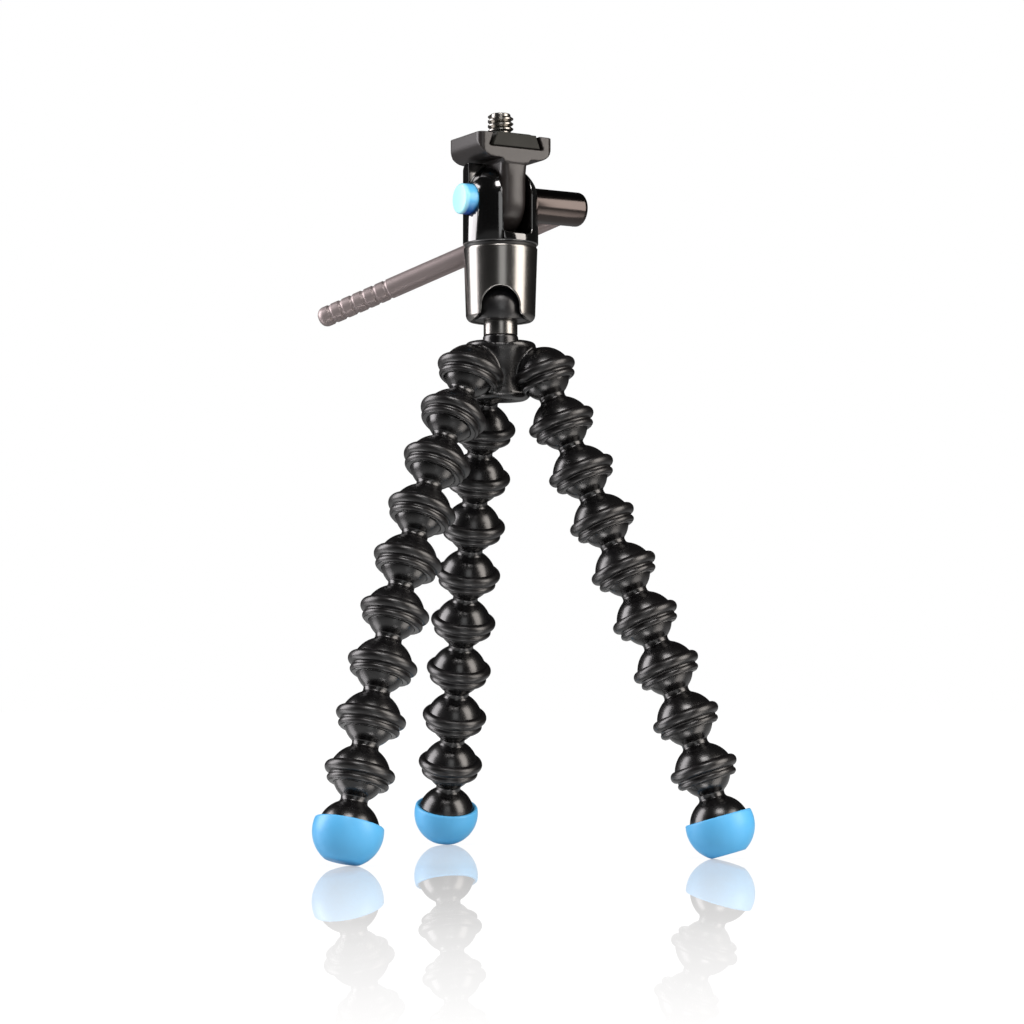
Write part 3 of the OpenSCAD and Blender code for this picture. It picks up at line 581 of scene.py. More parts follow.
def softened(points, radius, closed=False):
    """The outline with its sharp corners rounded off."""
    straight = math.cos(math.radians(SOFT_TURN))
    result = []
    last = len(points) - 1
    for index, point in enumerate(points):
        if not closed and index in (0, last):
            result.append(point)
            continue
        here = Vector(point)
        before = Vector(points[index - 1]) - here
        after = Vector(points[(index + 1) % len(points)]) - here
        short = min(before.length, after.length) < NO_LENGTH
        if short or -before.normalized().dot(after.normalized()) > straight:
            result.append(point)
            continue
        start = here + before.normalized() * min(radius, before.length * SOFT_SHARE)
        end = here + after.normalized() * min(radius, after.length * SOFT_SHARE)
        for step in SOFT_STEPS:
            low = start.lerp(here, step)
            high = here.lerp(end, step)
            result.append(tuple(low.lerp(high, step)))
    return result


def ball_and_neck(legs):
    """Ball, neck and fillets of a link, down to where its dome begins, and that angle."""
    ball_r = legs.ball_d / 2
    neck_r = legs.neck_d / 2
    cup_r = legs.cup_d / 2
    top_x = neck_r + legs.ball_fillet
    top = (top_x, -half_width(ball_r + legs.ball_fillet, top_x))
    low_x = neck_r + legs.neck_fillet
    low_y = half_width(cup_r + legs.neck_fillet, low_x)
    top_angle = math.degrees(math.atan2(top[1], top[0]))
    low_angle = math.degrees(math.atan2(low_y, low_x))
    points = arc((0, 0), ball_r, 90, top_angle, steps=20)
    points += arc(top, legs.ball_fillet, top_angle + 180, 180, steps=6)[1:]
    points += arc((low_x, low_y - legs.link_pitch), legs.neck_fillet, 180, 180 + low_angle, steps=6)
    return points, low_angle


def cup_points(legs, top_angle):
    """Dome, ring seat, rim and socket of a cup, from an angle on its dome to the socket's pole."""
    cup_r = legs.cup_d / 2
    seat_r = legs.ring_seat_d / 2
    socket_r = legs.ball_d / 2 + legs.ball_play
    points = arc((0, 0), cup_r, top_angle, rise(cup_r, legs.ring_seat_up), steps=16)
    points += [(seat_r, legs.ring_seat_up), (seat_r, -legs.cup_lip)]
    points += arc((0, 0), socket_r, rise(socket_r, -legs.cup_lip), 90, steps=18)
    return softened(points, legs.edge)


def link_points(legs):
    """Outline of a link's shell, with the ball's centre at height 0."""
    points, dome_angle = ball_and_neck(legs)
    return points + moved(cup_points(legs, dome_angle), -legs.link_pitch)[1:]


def ring_points(legs):
    """Outline of a grip ring, with the cup's centre at height 0."""
    dome_r = legs.cup_d / 2 + legs.seat_gap
    seat_r = legs.ring_seat_d / 2 + legs.seat_gap
    valley = legs.rib_d / 2 - legs.ring_valley
    bead = (legs.bead_d / 2 - legs.bead_t / 2, legs.bead_up)
    rib = (legs.rib_d / 2 - legs.rib_t / 2, -legs.rib_down)
    bead_end = -math.degrees(math.acos((valley - bead[0]) / (legs.bead_t / 2)))
    rib_start = math.degrees(math.acos((valley - rib[0]) / (legs.rib_t / 2)))
    bead_start = crossing(bead, legs.bead_t / 2, dome_r)[0]
    rib_end = -math.degrees(math.acos((seat_r - rib[0]) / (legs.rib_t / 2)))
    points = arc(bead, legs.bead_t / 2, bead_start, bead_end, steps=18)
    points += arc(rib, legs.rib_t / 2, rib_start, rib_end, steps=12)
    step_up = legs.ring_seat_up - legs.seat_gap
    points += [(seat_r, step_up), (half_width(dome_r, step_up), step_up)]
    return softened(points, legs.edge, closed=True)


def foot_points(legs):
    """Outline of a foot body, with the ball's centre at height 0."""
    points, dome_angle = ball_and_neck(legs)
    cup_r = legs.cup_d / 2
    dome = arc((0, 0), cup_r, dome_angle, rise(cup_r, -legs.foot_cut), steps=24)
    dome.append((0, -legs.foot_cut))
    return points + moved(dome, -legs.link_pitch)[1:]


def cap_points(legs):
    """Outline of a foot's rubber cap, with the dome's centre at height 0."""
    cap_r = legs.cap_d / 2
    dome_r = legs.cup_d / 2 + legs.seat_gap
    rim_r = legs.cap_rim_t / 2
    rim_mid = legs.cap_rim_up - rim_r
    rim = (half_width(cap_r, rim_mid) - rim_r, rim_mid)
    rim_start = crossing(rim, rim_r, dome_r)[0]
    pocket = -legs.foot_cut - legs.magnet_t
    points = [(0, pocket), (legs.magnet_d / 2, pocket), (legs.magnet_d / 2, -legs.foot_cut)]
    rim_foot = rim[1] + rim_r * math.sin(math.radians(rim_start))
    points += arc((0, 0), dome_r, rise(dome_r, -legs.foot_cut), rise(dome_r, rim_foot), steps=10)
    points += arc(rim, rim_r, rim_start, 0, steps=10)[1:]
    outer = arc((0, 0), cap_r, rise(cap_r, rim_mid), rise(cap_r, -legs.sole_down), steps=26)
    outer.append((0, -legs.sole_down))
    return points + softened(outer, 3 * legs.edge)[1:]


# Geometry node trees

# Radius of the circle that outlines turn round, and distance at which points on the axis become one
SPINDLE = 1e-7
POLE_MERGE = 2e-6

# Steps of a screw thread's turn
THREAD_STEPS = 64


class NodeGroup:
    """A geometry node tree under construction."""

    def __init__(self, name, inputs):
        self.tree = bpy.data.node_groups.new(name, "GeometryNodeTree")
        self.tree.interface.new_socket("Geometry", in_out="INPUT", socket_type="NodeSocketGeometry")
        self.identifiers = {}
        for label, kind in inputs.items():
            made = self.tree.interface.new_socket(label, in_out="INPUT", socket_type=kind)
            self.identifiers[label] = made.identifier
        self.tree.interface.new_socket("Geometry", in_out="OUTPUT", socket_type="NodeSocketGeometry")
        self.inputs = self.tree.nodes.new("NodeGroupInput").outputs

    def add(self, kind, settings=None, sockets=None, output=0):
        """Adds a node with its settings and socket values or links, and returns one of its outputs."""
        made = self.tree.nodes.new(kind)
        made.location.x = NODE_STEP * len(self.tree.nodes)
        for name, value in (settings or {}).items():
            setattr(made, name, value)
        for key, value in (sockets or {}).items():
            if isinstance(value, bpy.types.NodeSocket):
                self.tree.links.new(value, made.inputs[key])
            else:
                made.inputs[key].default_value = value
        return made.outputs[output]

    def close(self, geometry):
        """Ends the tree in plain geometry with its material."""
        real = self.add("GeometryNodeRealizeInstances", None, {"Geometry": geometry})
        dressed = self.add(
            "GeometryNodeSetMaterial", None, {"Geometry": real, "Material": self.inputs["Material"]}
        )
        end = self.tree.nodes.new("NodeGroupOutput")
        self.tree.links.new(dressed, end.inputs[0])
        return self


def turned_group():
    """Turns an outline round its axis, then stands the piece at a place along a direction."""
    group = NodeGroup(
        "Turned piece",
        {
            "Segments": "NodeSocketInt",
            "Position": "NodeSocketVector",
            "Aim": "NodeSocketVector",
            "Material": "NodeSocketMaterial",
        },
    )
    outline = group.add("GeometryNodeMeshToCurve", None, {0: group.inputs["Geometry"]})
    circle = group.add(
        "GeometryNodeCurvePrimitiveCircle",
        {"mode": "RADIUS"},
        {"Resolution": group.inputs["Segments"], "Radius": SPINDLE},
    )
    upright = group.add("GeometryNodeSetCurveNormal", {"mode": "Z_UP"}, {"Curve": circle})
    swept = group.add(
        "GeometryNodeCurveToMesh", None, {"Curve": upright, "Profile Curve": outline, "Fill Caps": False}
    )
    merged = group.add("GeometryNodeMergeByDistance", None, {"Geometry": swept, "Distance": POLE_MERGE})
    facing = group.add(
        "FunctionNodeAlignRotationToVector", {"axis": "Z"}, {"Vector": group.inputs["Aim"]}
    )
    stood = group.add(
        "GeometryNodeTransform",
        None,
        {"Geometry": merged, "Translation": group.inputs["Position"], "Rotation": facing},
    )
    return group.close(stood)


# Building of pieces

# Edges sharper than these, in degrees, stay sharp in the shading
SMOOTH_TURN = 35
SMOOTH_EDGED = 40
SMOOTH_SLEEVE = 50
SMOOTH_THREAD = 30

# Edges that turn by more than this, in degrees, are rounded with that many facets
EDGE_TURN = 32
EDGE_FACETS = 3

# Points nearer than this, in metres, are one
SAME_PLACE = 1e-6

# Faces that meet within this angle, in degrees, are one flat face
FLAT_TURN = 0.2

# Passes that ease a casting's surface, and how far each of them goes
HUB_PASSES = 8
PLATFORM_PASSES = 6
EASE = 0.5


def new_object(name, data):
    """A new object in the scene, from its mesh, lamp or camera."""
    made = bpy.data.objects.new(name, data)
    bpy.context.scene.collection.objects.link(made)
    return made


def shaped(name, shape):
    """A new object made of an edited shape, which is used up."""
    mesh = bpy.data.meshes.new(name)
    shape.to_mesh(mesh)
    shape.free()
    return new_object(name, mesh)


def settled(made):
    """The object with its modifiers turned into its mesh."""
    graph = bpy.context.evaluated_depsgraph_get()
    mesh = bpy.data.meshes.new_from_object(made.evaluated_get(graph), depsgraph=graph)
    made.modifiers.clear()
    old = made.data
    made.data = mesh
    mesh.name = made.name
    bpy.data.meshes.remove(old)
    return made


def grown(made, group, values):
    """The object with a node tree's work on it, from the tree's named inputs."""
    modifier = made.modifiers.new(group.tree.name, "NODES")
    modifier.node_group = group.tree
    for label, value in values.items():
        modifier[group.identifiers[label]] = value
    return settled(made)


def smooth(made, angle=SMOOTH_TURN):
    """Smooth shading, with the edges sharper than an angle in degrees kept."""
    made.data.shade_smooth()
    made.data.set_sharp_from_angle(angle=math.radians(angle))
    return made


def dress(made, slot, node, hides=True):
    """Gives a piece its finish and puts it on the body of the node that it stands for."""
    made.data.materials.clear()
    made.data.materials.append(FINISHES[slot])
    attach(made, NODES[node]["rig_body"])
    if hides:
        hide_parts(node)


def turned(name, points, position, aim, closed=False, segments=64):
    """A turned piece whose outline runs from its top outwards and down, in millimetres."""
    mesh = bpy.data.meshes.new(name)
    count = len(points)
    edges = [(index, index + 1) for index in range(count - 1)]
    if closed:
        edges.append((count - 1, 0))
    mesh.from_pydata([(radius * MM, -height * MM, 0) for radius, height in points], edges, [])
    values = {"Segments": segments, "Position": tuple(position), "Aim": tuple(aim)}
    return smooth(grown(new_object(name, mesh), TURNED, values))


def joint_place(leg, index):
    """Centre of the ball joint above a leg's link."""
    kind = "bend" if index % 2 else "sway"
    return Vector(JOINTS[f"{leg}_{kind}_{index}"]["pos_m"])


def node_middle(node):
    """Centre of a node's box."""
    low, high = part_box(node)
    return (low + high) / 2


def up_axis(leg, index):
    """Direction from a link's cup to its ball."""
    if index == FOOT:
        return (joint_place(leg, FOOT) - node_middle(f"{leg}_foot_magnet")).normalized()
    return (joint_place(leg, index) - joint_place(leg, index + 1)).normalized()


def joined(name, parts):
    """One object made of several, which are used up."""
    shape = bmesh.new()
    for part in parts:
        shape.from_mesh(part.data)
    for part in parts:
        bpy.data.objects.remove(part)
    return shaped(name, shape)


def prism(name, points, depth, stand):
    """A flat outline in millimetres, extruded both ways and stood in a frame."""
    shape = bmesh.new()
    corners = [shape.verts.new((x * MM, y * MM, -depth * MM)) for x, y in points]
    base = shape.faces.new(corners)
    extruded = bmesh.ops.extrude_face_region(shape, geom=[base])
    raised = [item for item in extruded["geom"] if isinstance(item, bmesh.types.BMVert)]
    bmesh.ops.translate(shape, verts=raised, vec=(0, 0, 2 * depth * MM))
    bmesh.ops.recalc_face_normals(shape, faces=shape.faces)
    bmesh.ops.transform(shape, matrix=stand, verts=shape.verts)
    return shaped(name, shape)


def cut_away(made, cutters):
    """The object with every cutter taken out of it."""
    for cutter in cutters:
        modifier = made.modifiers.new("Cut", "BOOLEAN")
        modifier.operation = "DIFFERENCE"
        modifier.solver = "EXACT"
        modifier.object = cutter
    settled(made)
    for cutter in cutters:
        bpy.data.objects.remove(cutter)
    return made


def edged(made, width_mm):
    """The object with its sharp edges rounded off."""
    modifier = made.modifiers.new("Edges", "BEVEL")
    modifier.width = width_mm * MM
    modifier.segments = EDGE_FACETS
    modifier.limit_method = "ANGLE"
    modifier.angle_limit = math.radians(EDGE_TURN)
    modifier.use_clamp_overlap = False
    return smooth(settled(made), SMOOTH_EDGED)


def frame_copy(name, node):
    """A merged copy of a CAD node with its flat faces whole."""
    shape = bmesh.new()
    shape.from_mesh(NODES[node].data)
    bmesh.ops.remove_doubles(shape, verts=shape.verts, dist=SAME_PLACE)
    bmesh.ops.dissolve_limit(
        shape, angle_limit=math.radians(FLAT_TURN), verts=shape.verts, edges=shape.edges
    )
    return shaped(name, shape)


def cast(made, grain_mm, passes):
    """The object as one soft-edged casting."""
    skin = made.modifiers.new("Skin", "REMESH")
    skin.mode = "VOXEL"
    skin.voxel_size = grain_mm * MM
    ease = made.modifiers.new("Ease", "SMOOTH")
    ease.factor = EASE
    ease.iterations = passes
    settled(made)
    made.data.shade_smooth()
    return made


def axes_frame(origin, x_axis, y_axis):
    """A frame at a place, from two of its axes."""
    z_axis = x_axis.cross(y_axis)
    turn = Matrix((x_axis, y_axis, z_axis)).transposed().to_4x4()
    return Matrix.Translation(origin) @ turn


# Places of the head

UP = Vector((0, 0, 1))
BALL = Vector(JOINTS["ball_tilt"]["pos_m"])
TILT = Vector(JOINTS["platform_tilt"]["pos_m"])
TILT_AXIS = Vector(JOINTS["platform_tilt"]["axis"]).normalized()
ACROSS = UP.cross(TILT_AXIS).normalized()
HINGE = Vector(JOINTS["handle_fold"]["pos_m"])
HINGE_AXIS = Vector(JOINTS["handle_fold"]["axis"]).normalized()
ROD_SIDE = HINGE_AXIS.cross(TILT_AXIS).normalized()


def add_links(legs):
    """Shell and grip ring of every leg link."""
    for leg in LEGS:
        for index in range(1, FOOT):
            node = f"{leg}_link_{index}"
            aim = up_axis(leg, index)
            shell = turned(f"{leg}_shell_{index}", link_points(legs), joint_place(leg, index), aim)
            dress(shell, "link_plastic", node)
            cup = joint_place(leg, index + 1)
            ring = turned(f"{leg}_ring_{index}", ring_points(legs), cup, aim, closed=True)
            dress(ring, "grip_rubber", node, hides=False)


def add_feet(legs):
    """Body and rubber cap of every foot."""
    for leg in LEGS:
        aim = up_axis(leg, FOOT)
        ball = joint_place(leg, FOOT)
        body = turned(f"{leg}_foot_shell", foot_points(legs), ball, aim)
        dress(body, "link_plastic", f"{leg}_foot_body")
        dome = ball - aim * legs.link_pitch * MM
        cap = turned(f"{leg}_foot_boot", cap_points(legs), dome, aim, segments=96)
        dress(cap, "foot_rubber", f"{leg}_foot_cap")


# Hub's flank: direction in degrees where its rounded edges end, and steps between them
FLANK_TURN = -20
FLANK_STEPS = 12


def hub_points(head):
    """Outline of the hub's boss, shoulder and column, with the socket centres at height 0."""
    boss_r = head.boss_d / 2
    edge = head.hub_edge
    foot = head.hub_foot
    neck = (boss_r + head.boss_fillet, head.shoulder_up + head.boss_fillet)
    points = [(0, head.boss_up), (boss_r, head.boss_up)]
    points += arc(neck, head.boss_fillet, 180, 270, steps=8)
    points += arc((head.shoulder_d / 2 - edge, head.shoulder_up - edge), edge, 90, FLANK_TURN, steps=12)
    bottom = arc((head.column_d / 2, foot - head.column_down), foot, FLANK_TURN, -90, steps=8)
    upper = points[-1]
    for step in range(1, FLANK_STEPS):
        share = step / FLANK_STEPS
        hollow = 4 * head.hub_waist * share * (1 - share)
        radius = upper[0] + share * (bottom[0][0] - upper[0]) - hollow
        points.append((radius, upper[1] + share * (bottom[0][1] - upper[1])))
    return points + bottom + [(0, -head.column_down)]


def socket_aim(head, leg):
    """Direction of a hub socket's axis, upwards."""
    outward = joint_place(leg, 1)
    outward.z = 0
    return UP * math.cos(head.hub_splay) - outward.normalized() * math.sin(head.hub_splay)


def hub_centre():
    """Place on the hub's axis at the height of its sockets."""
    return Vector((0, 0, joint_place("right", 1).z))


def add_hub(legs, head):
    """Moulded hub and its grip rings."""
    centre = hub_centre()
    socket_r = legs.ball_d / 2 + legs.ball_play
    hollow = arc((0, 0), socket_r, 90, -90, steps=32)
    body = turned("column", hub_points(head), centre, UP)
    cutters = [turned("hollow", hollow, joint_place(leg, 1), UP) for leg in LEGS]
    room_r = head.tilt_room
    room = [(0, head.rod_l), (room_r, head.rod_l), (room_r, -head.tilt_behind), (0, -head.tilt_behind)]
    cutters.append(turned("room", room, BALL, Vector(JOINTS["ball_tilt"]["axis"]).cross(UP)))
    boss_r = head.boss_d / 2
    boss = [(0, head.boss_up), (boss_r, head.boss_up), (boss_r, 0), (0, 0)]
    parts = [cut_away(body, cutters), turned("boss", boss, centre, UP)]
    for leg in LEGS:
        parts.append(turned("socket", cup_points(legs, 90), joint_place(leg, 1), socket_aim(head, leg)))
    hub = cast(joined("hub_casting", parts), head.hub_grain, HUB_PASSES)
    dress(hub, "link_plastic", "leg_hub")
    rings = []
    for leg in LEGS:
        aim = socket_aim(head, leg)
        rings.append(turned("ring", ring_points(legs), joint_place(leg, 1), aim, closed=True))
    dress(smooth(joined("hub_rings", rings)), "grip_rubber", "hub_grip_rings")


def add_ball(legs, head):
    """Ball of the head and its steel stem."""
    ball_r = head.ball_d / 2
    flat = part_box("head_ball")[0].z / MM - BALL.z / MM
    core_r = head.core_d / 2
    points = arc((0, 0), ball_r, 90, rise(ball_r, flat), steps=36)
    points += [(core_r, flat), (core_r, head.core_up), (0, head.core_up)]
    ball = turned("head_ball_shell", softened(points, legs.edge), BALL, UP, segments=96)
    dress(ball, "ball_plastic", "head_ball")

    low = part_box("ball_stem")[0].z / MM - BALL.z / MM
    seat = hub_centre().z / MM + head.boss_up - BALL.z / MM
    stem = [
        (0, head.core_up),
        (core_r, head.core_up),
        (core_r, flat),
        (head.stem_d / 2, flat),
        (head.stem_d / 2, seat),
        (head.spigot_d / 2, seat),
        (head.spigot_d / 2, low),
        (0, low),
    ]
    dress(turned("stem_collar", softened(stem, legs.edge), BALL, UP), "stem_steel", "ball_stem")


# Sleeve's grid: steps round the plain part of its rim, rows up its wall and how they crowd at the rim
RIM_STEPS = 90
WALL_ROWS = 26
WALL_CROWD = 1.25

# Pull of the grid's columns, in millimetres: from the notch's sides, from the rest of the rim, at the top
NOTCH_PULL = 1.1
RIM_PULL = 2.5
TOP_PULL = 4

# Points of the sleeve nearer than this, in metres, are one
SLEEVE_MERGE = 2e-6


def sleeve_wall(head, height):
    """Functions of the sleeve's outer wall, and the distance along it to its top."""
    round_r = head.sleeve_round
    corner = head.sleeve_low_d / 2 - round_r
    start = -math.acos((head.sleeve_mouth_d / 2 - corner) / round_r)
    bend = -start * round_r
    top = Vector((head.sleeve_d / 2, height))
    foot = Vector((head.sleeve_low_d / 2, round_r))
    total = bend + (top - foot).length

    def wall(along):
        """Point of the outer wall and the direction out of it."""
        if along < bend:
            angle = start + along / round_r
            out = Vector((math.cos(angle), math.sin(angle)))
            return Vector((corner, round_r)) + out * round_r, out
        spot = foot.lerp(top, (along - bend) / (total - bend))
        line = (top - foot).normalized()
        return spot, Vector((line.y, -line.x))

    def along(z):
        """Distance along the wall to a height."""
        if z < round_r:
            return (math.asin(max(-1, (z - round_r) / round_r)) - start) * round_r
        return bend + (z - round_r) / (height - round_r) * (total - bend)

    return wall, along, total


def sleeve_rim(head, ball_up, wall, along):
    """Lower edge of the sleeve, once round, and the number of its points in the notch.

    Each point is an angle from the front and a distance along the wall.
    """
    low_z = wall(0)[0].y
    half = head.notch_w / 2
    flare = head.notch_flare
    corner = (-half - flare, flare)
    start = math.degrees(math.asin((low_z - flare) / flare))
    left = arc(corner, flare, start, 0, steps=10)
    left += arc((0, ball_up), half, 180, 90, steps=18)
    right = [(-x, z) for x, z in reversed(left[:-1])]
    rim = []
    for x, z in left + right:
        distance = along(z)
        rim.append((math.asin(x / wall(distance)[0].x), distance))
    end = rim[-1][0]
    back = 2 * math.pi - 2 * end
    for step in range(1, RIM_STEPS):
        rim.append((end + back * step / RIM_STEPS, 0.0))
    return rim, len(left + right)


def sleeve_grid(head, height, ball_up):
    """Columns of points once round the sleeve, each up the outer wall from the rim and down the bore."""
    wall, along, total = sleeve_wall(head, height)
    rim, notched = sleeve_rim(head, ball_up, wall, along)
    radius = head.sleeve_low_d / 2
    bore_r = head.sleeve_bore / 2
    mouth_r = head.sleeve_mouth_d / 2
    flat = [Vector((angle * radius, distance)) for angle, distance in rim]
    turn = Vector((2 * math.pi * radius, 0))
    count = len(flat)
    span = flat[notched - 1].x - flat[0].x
    travel = [0.0]
    for index in range(1, notched):
        travel.append(travel[-1] + (flat[index] - flat[index - 1]).length)
    columns = []

    def spot(angle, distance, depth=0.0):
        """Point of the outer wall, or at a depth under it."""
        at, out = wall(distance)
        at = at - out * depth
        return (at.x * math.sin(angle), -at.x * math.cos(angle), at.y)

    def inner(angle, r, z):
        """Point at an angle from the front, a distance from the axis and a height."""
        return (r * math.sin(angle), -r * math.cos(angle), z)

    for index, base in enumerate(flat):
        before = flat[index - 1] - (turn if index == 0 else Vector((0, 0)))
        after = flat[(index + 1) % count] + (turn if index == count - 1 else Vector((0, 0)))
        line = (after - before).normalized()
        normal = Vector((-line.y, line.x))
        if index < notched:
            top_x = flat[0].x + span * travel[index] / travel[-1]
        else:
            top_x = base.x
        top = Vector((top_x, total - head.bevel))
        reach = NOTCH_PULL if 0 < base.y < along(ball_up) else RIM_PULL
        first = base + normal * head.bevel
        leave = base + normal * reach
        arrive = top - Vector((0, TOP_PULL))
        column = [spot(base.x / radius, max(0, base.y), head.bevel)]
        for row in range(WALL_ROWS + 1):
            t = (row / WALL_ROWS) ** WALL_CROWD
            u = 1 - t
            p = first * u**3 + leave * 3 * u * u * t + arrive * 3 * u * t * t + top * t**3
            column.append(spot(p.x / radius, max(0, p.y)))
        angle = top.x / radius
        top_r = wall(total)[0].x
        column.append(inner(angle, top_r - head.bevel, height))
        column.append(inner(angle, bore_r, height))
        z = wall(max(0, base.y))[0].y
        x = spot(base.x / radius, max(0, base.y))[0]
        lip = max(z, head.sleeve_lip)
        in_r = bore_r if z > head.sleeve_lip else mouth_r
        if index < notched:
            column.append(inner(math.asin(x / bore_r), bore_r, lip))
            column.append(inner(math.asin(x / in_r), in_r, lip))
            column.append(inner(math.asin(x / in_r), in_r, z))
        else:
            column.append(inner(base.x / radius, bore_r, lip))
            column.append(inner(base.x / radius, mouth_r, lip))
            column.append(inner(base.x / radius, mouth_r, z + head.bevel))
        columns.append(column)
    return columns


def ringed(name, columns, low):
    """A closed ring whose sections are the columns, in millimetres above a height in metres."""
    shape = bmesh.new()
    grid = [[shape.verts.new((x * MM, y * MM, z * MM + low)) for x, y, z in column] for column in columns]
    count = len(grid)
    deep = len(grid[0])
    for index in range(count):
        here = grid[index]
        beside = grid[(index + 1) % count]
        for row in range(deep):
            after = (row + 1) % deep
            shape.faces.new((here[row], beside[row], beside[after], here[after]))
    bmesh.ops.remove_doubles(shape, verts=shape.verts, dist=SLEEVE_MERGE)
    bmesh.ops.recalc_face_normals(shape, faces=shape.faces)
    return shaped(name, shape)


def add_socket(head):
    """Polished sleeve of the head's ball joint."""
    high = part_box("socket_sleeve")[1].z
    wall_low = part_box("socket_sleeve")[0].z
    corner = head.sleeve_low_d / 2 - head.sleeve_round
    lift = head.sleeve_round - half_width(head.sleeve_round, head.sleeve_mouth_d / 2 - corner)
    low = wall_low - lift * MM
    columns = sleeve_grid(head, (high - low) / MM, (BALL.z - low) / MM)
    made = ringed("sleeve_shell", columns, low)
    dress(smooth(made, SMOOTH_SLEEVE), "sleeve_steel", "socket_sleeve")


def add_yoke(head):
    """Yoke with its cheeks, slot and pockets."""
    low = Vector(JOINTS["pan_turn"]["pos_m"])
    spigot_low = (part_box("pan_yoke")[0].z - low.z) / MM
    yoke_r = head.yoke_d / 2
    spigot_r = head.spigot_w / 2
    tilt_up = (TILT.z - low.z) / MM
    tall = tilt_up + head.rear_up
    points = [(0, tall), (yoke_r, tall), (yoke_r, 0)]
    points += [(spigot_r, 0), (spigot_r, spigot_low), (0, spigot_low)]
    body = turned("yoke_body", points, low, UP, segments=128)
    far = 2 * head.yoke_d
    corner = head.yoke_slot / 2 - head.slot_round
    floor = head.slot_floor + head.slot_round
    slot = [(head.yoke_slot / 2, far), (-head.yoke_slot / 2, far)]
    slot += arc((-corner, floor), head.slot_round, 180, 270, steps=8)
    slot += arc((corner, floor), head.slot_round, 270, 360, steps=8)
    slope = math.tan(head.tilt_back) * far
    crest = tilt_up + head.rear_up / math.cos(head.tilt_back)
    rear = [(-far, crest + slope), (far, crest - slope), (far, 2 * far), (-far, 2 * far)]
    domed = [(-far, -far), (far, -far), (far, far), (0, far), (0, 0), (-far, 0)]
    above = axes_frame(TILT + UP * far * MM, TILT_AXIS, ACROSS)
    along = axes_frame(low, TILT_AXIS, UP)
    flank = axes_frame(low, ACROSS, UP)
    dome = turned("dome", arc((0, 0), yoke_r + head.run_gap, 90, -90, steps=64), TILT, UP, segments=128)
    cutters = [
        prism("slot", slot, far, along),
        prism("rear", rear, far, flank),
        cut_away(prism("domed", domed, far, above), [dome]),
    ]
    pockets = (
        (head.button_d / 2 + head.run_gap, -head.button_pocket, -1),
        (head.barrel_d / 2 + head.run_gap, head.barrel_pocket, 1),
    )
    for radius, start, way in pockets:
        outline = [(0, far), (radius, far), (radius, 0), (0, 0)]
        cutters.append(turned("pocket", outline, TILT + TILT_AXIS * start * MM, TILT_AXIS * way))
    body = edged(cut_away(body, cutters), head.yoke_edge)
    dress(body, "yoke_paint", "pan_yoke")


def add_button(head):
    """Hollow release button."""
    button_r = head.button_d / 2
    face = head.button_face
    wall = head.button_wall
    end = head.button_end
    inside = face - 2 * wall
    edge = head.button_round
    points = [(0, face)] + arc((button_r - edge, face - edge), edge, 90, 0, steps=6)
    points += [(button_r, end), (button_r - wall, end), (button_r - wall, inside), (0, inside)]
    button = turned("button_cap", points, TILT, -TILT_AXIS)
    dress(button, "button_plastic", "release_button")


def crowned(casting, head):
    """The platform with its lug and neck rounded across, from full below to none at the plate."""
    half = head.yoke_slot / 2
    for vertex in casting.data.vertices:
        away = (vertex.co - TILT) / MM
        across = away.dot(TILT_AXIS) / half
        depth = away.dot(ACROSS) / head.rear_up
        fade = min(1, max(0, (head.rear_up - away.z) / half))
        vertex.co -= ACROSS * (head.lug_crown * MM * across * across * depth * fade)
    return casting


def add_platform(head):
    """Tilting platform with its crowned lug."""
    solid = frame_copy("platform_casting", "tilt_platform")
    casting = cast(solid, head.platform_grain, PLATFORM_PASSES)
    dress(crowned(casting, head), "platform_paint", "tilt_platform")


def add_barrel(head):
    """Barrel of the handle, with the slot that its rod turns in."""
    barrel_r = head.barrel_d / 2
    edge = head.barrel_round
    end = head.barrel_end
    points = [(0, end)] + arc((barrel_r - edge, end - edge), edge, 90, 0, steps=10)
    points += [(barrel_r, head.barrel_start), (0, head.barrel_start)]
    barrel = turned("barrel_shell", points, TILT, TILT_AXIS, segments=96)
    half = head.rod_d / 2 + head.slot_gap
    reach = 2 * head.barrel_d
    slot = []
    for angle, side in ((head.slot_low, 1), (head.slot_high, -1)):
        line = Vector((math.cos(angle), math.sin(angle)))
        flank = Vector((-line.y, line.x)) * half * side
        pair = [flank + line * reach, flank]
        slot += [tuple(point) for point in (pair if side > 0 else reversed(pair))]
    start = math.degrees(head.slot_low) + 90
    finish_angle = math.degrees(head.slot_high) + 270
    slot[2:2] = arc((0, 0), half, start, finish_angle, steps=16)[1:-1]
    stand = axes_frame(HINGE, TILT_AXIS, ROD_SIDE)
    barrel = cut_away(barrel, [prism("slot", slot, half, stand)])
    dress(edged(barrel, head.barrel_edge), "barrel_chrome", "handle_barrel")


def rod_points(head):
    """Outline of the handle rod from its tip to its hinge end."""
    rod_r = head.rod_d / 2
    end = head.rod_l
    points = [(0, end)] + arc((rod_r - head.rod_tip, end - head.rod_tip), head.rod_tip, 90, 0, steps=8)
    opening = math.degrees(math.acos((head.groove_r - head.groove_depth) / head.groove_r))
    for index in range(head.grooves):
        height = end - head.groove_inset - index * head.groove_step
        middle = (rod_r + head.groove_r - head.groove_depth, height)
        points += arc(middle, head.groove_r, 180 - opening, 180 + opening, steps=8)
    points += arc((0, 0), rod_r, 0, -90, steps=10)
    return softened(points, head.rod_edge)


def add_handle(head):
    """Handle rod with its finger grooves."""
    fold = head.rod_fold
    aim = ROD_SIDE * math.sin(fold) - TILT_AXIS * math.cos(fold)
    rod = turned("rod_bar", rod_points(head), HINGE, aim, segments=72)
    dress(rod, "rod_metal", "handle_rod")


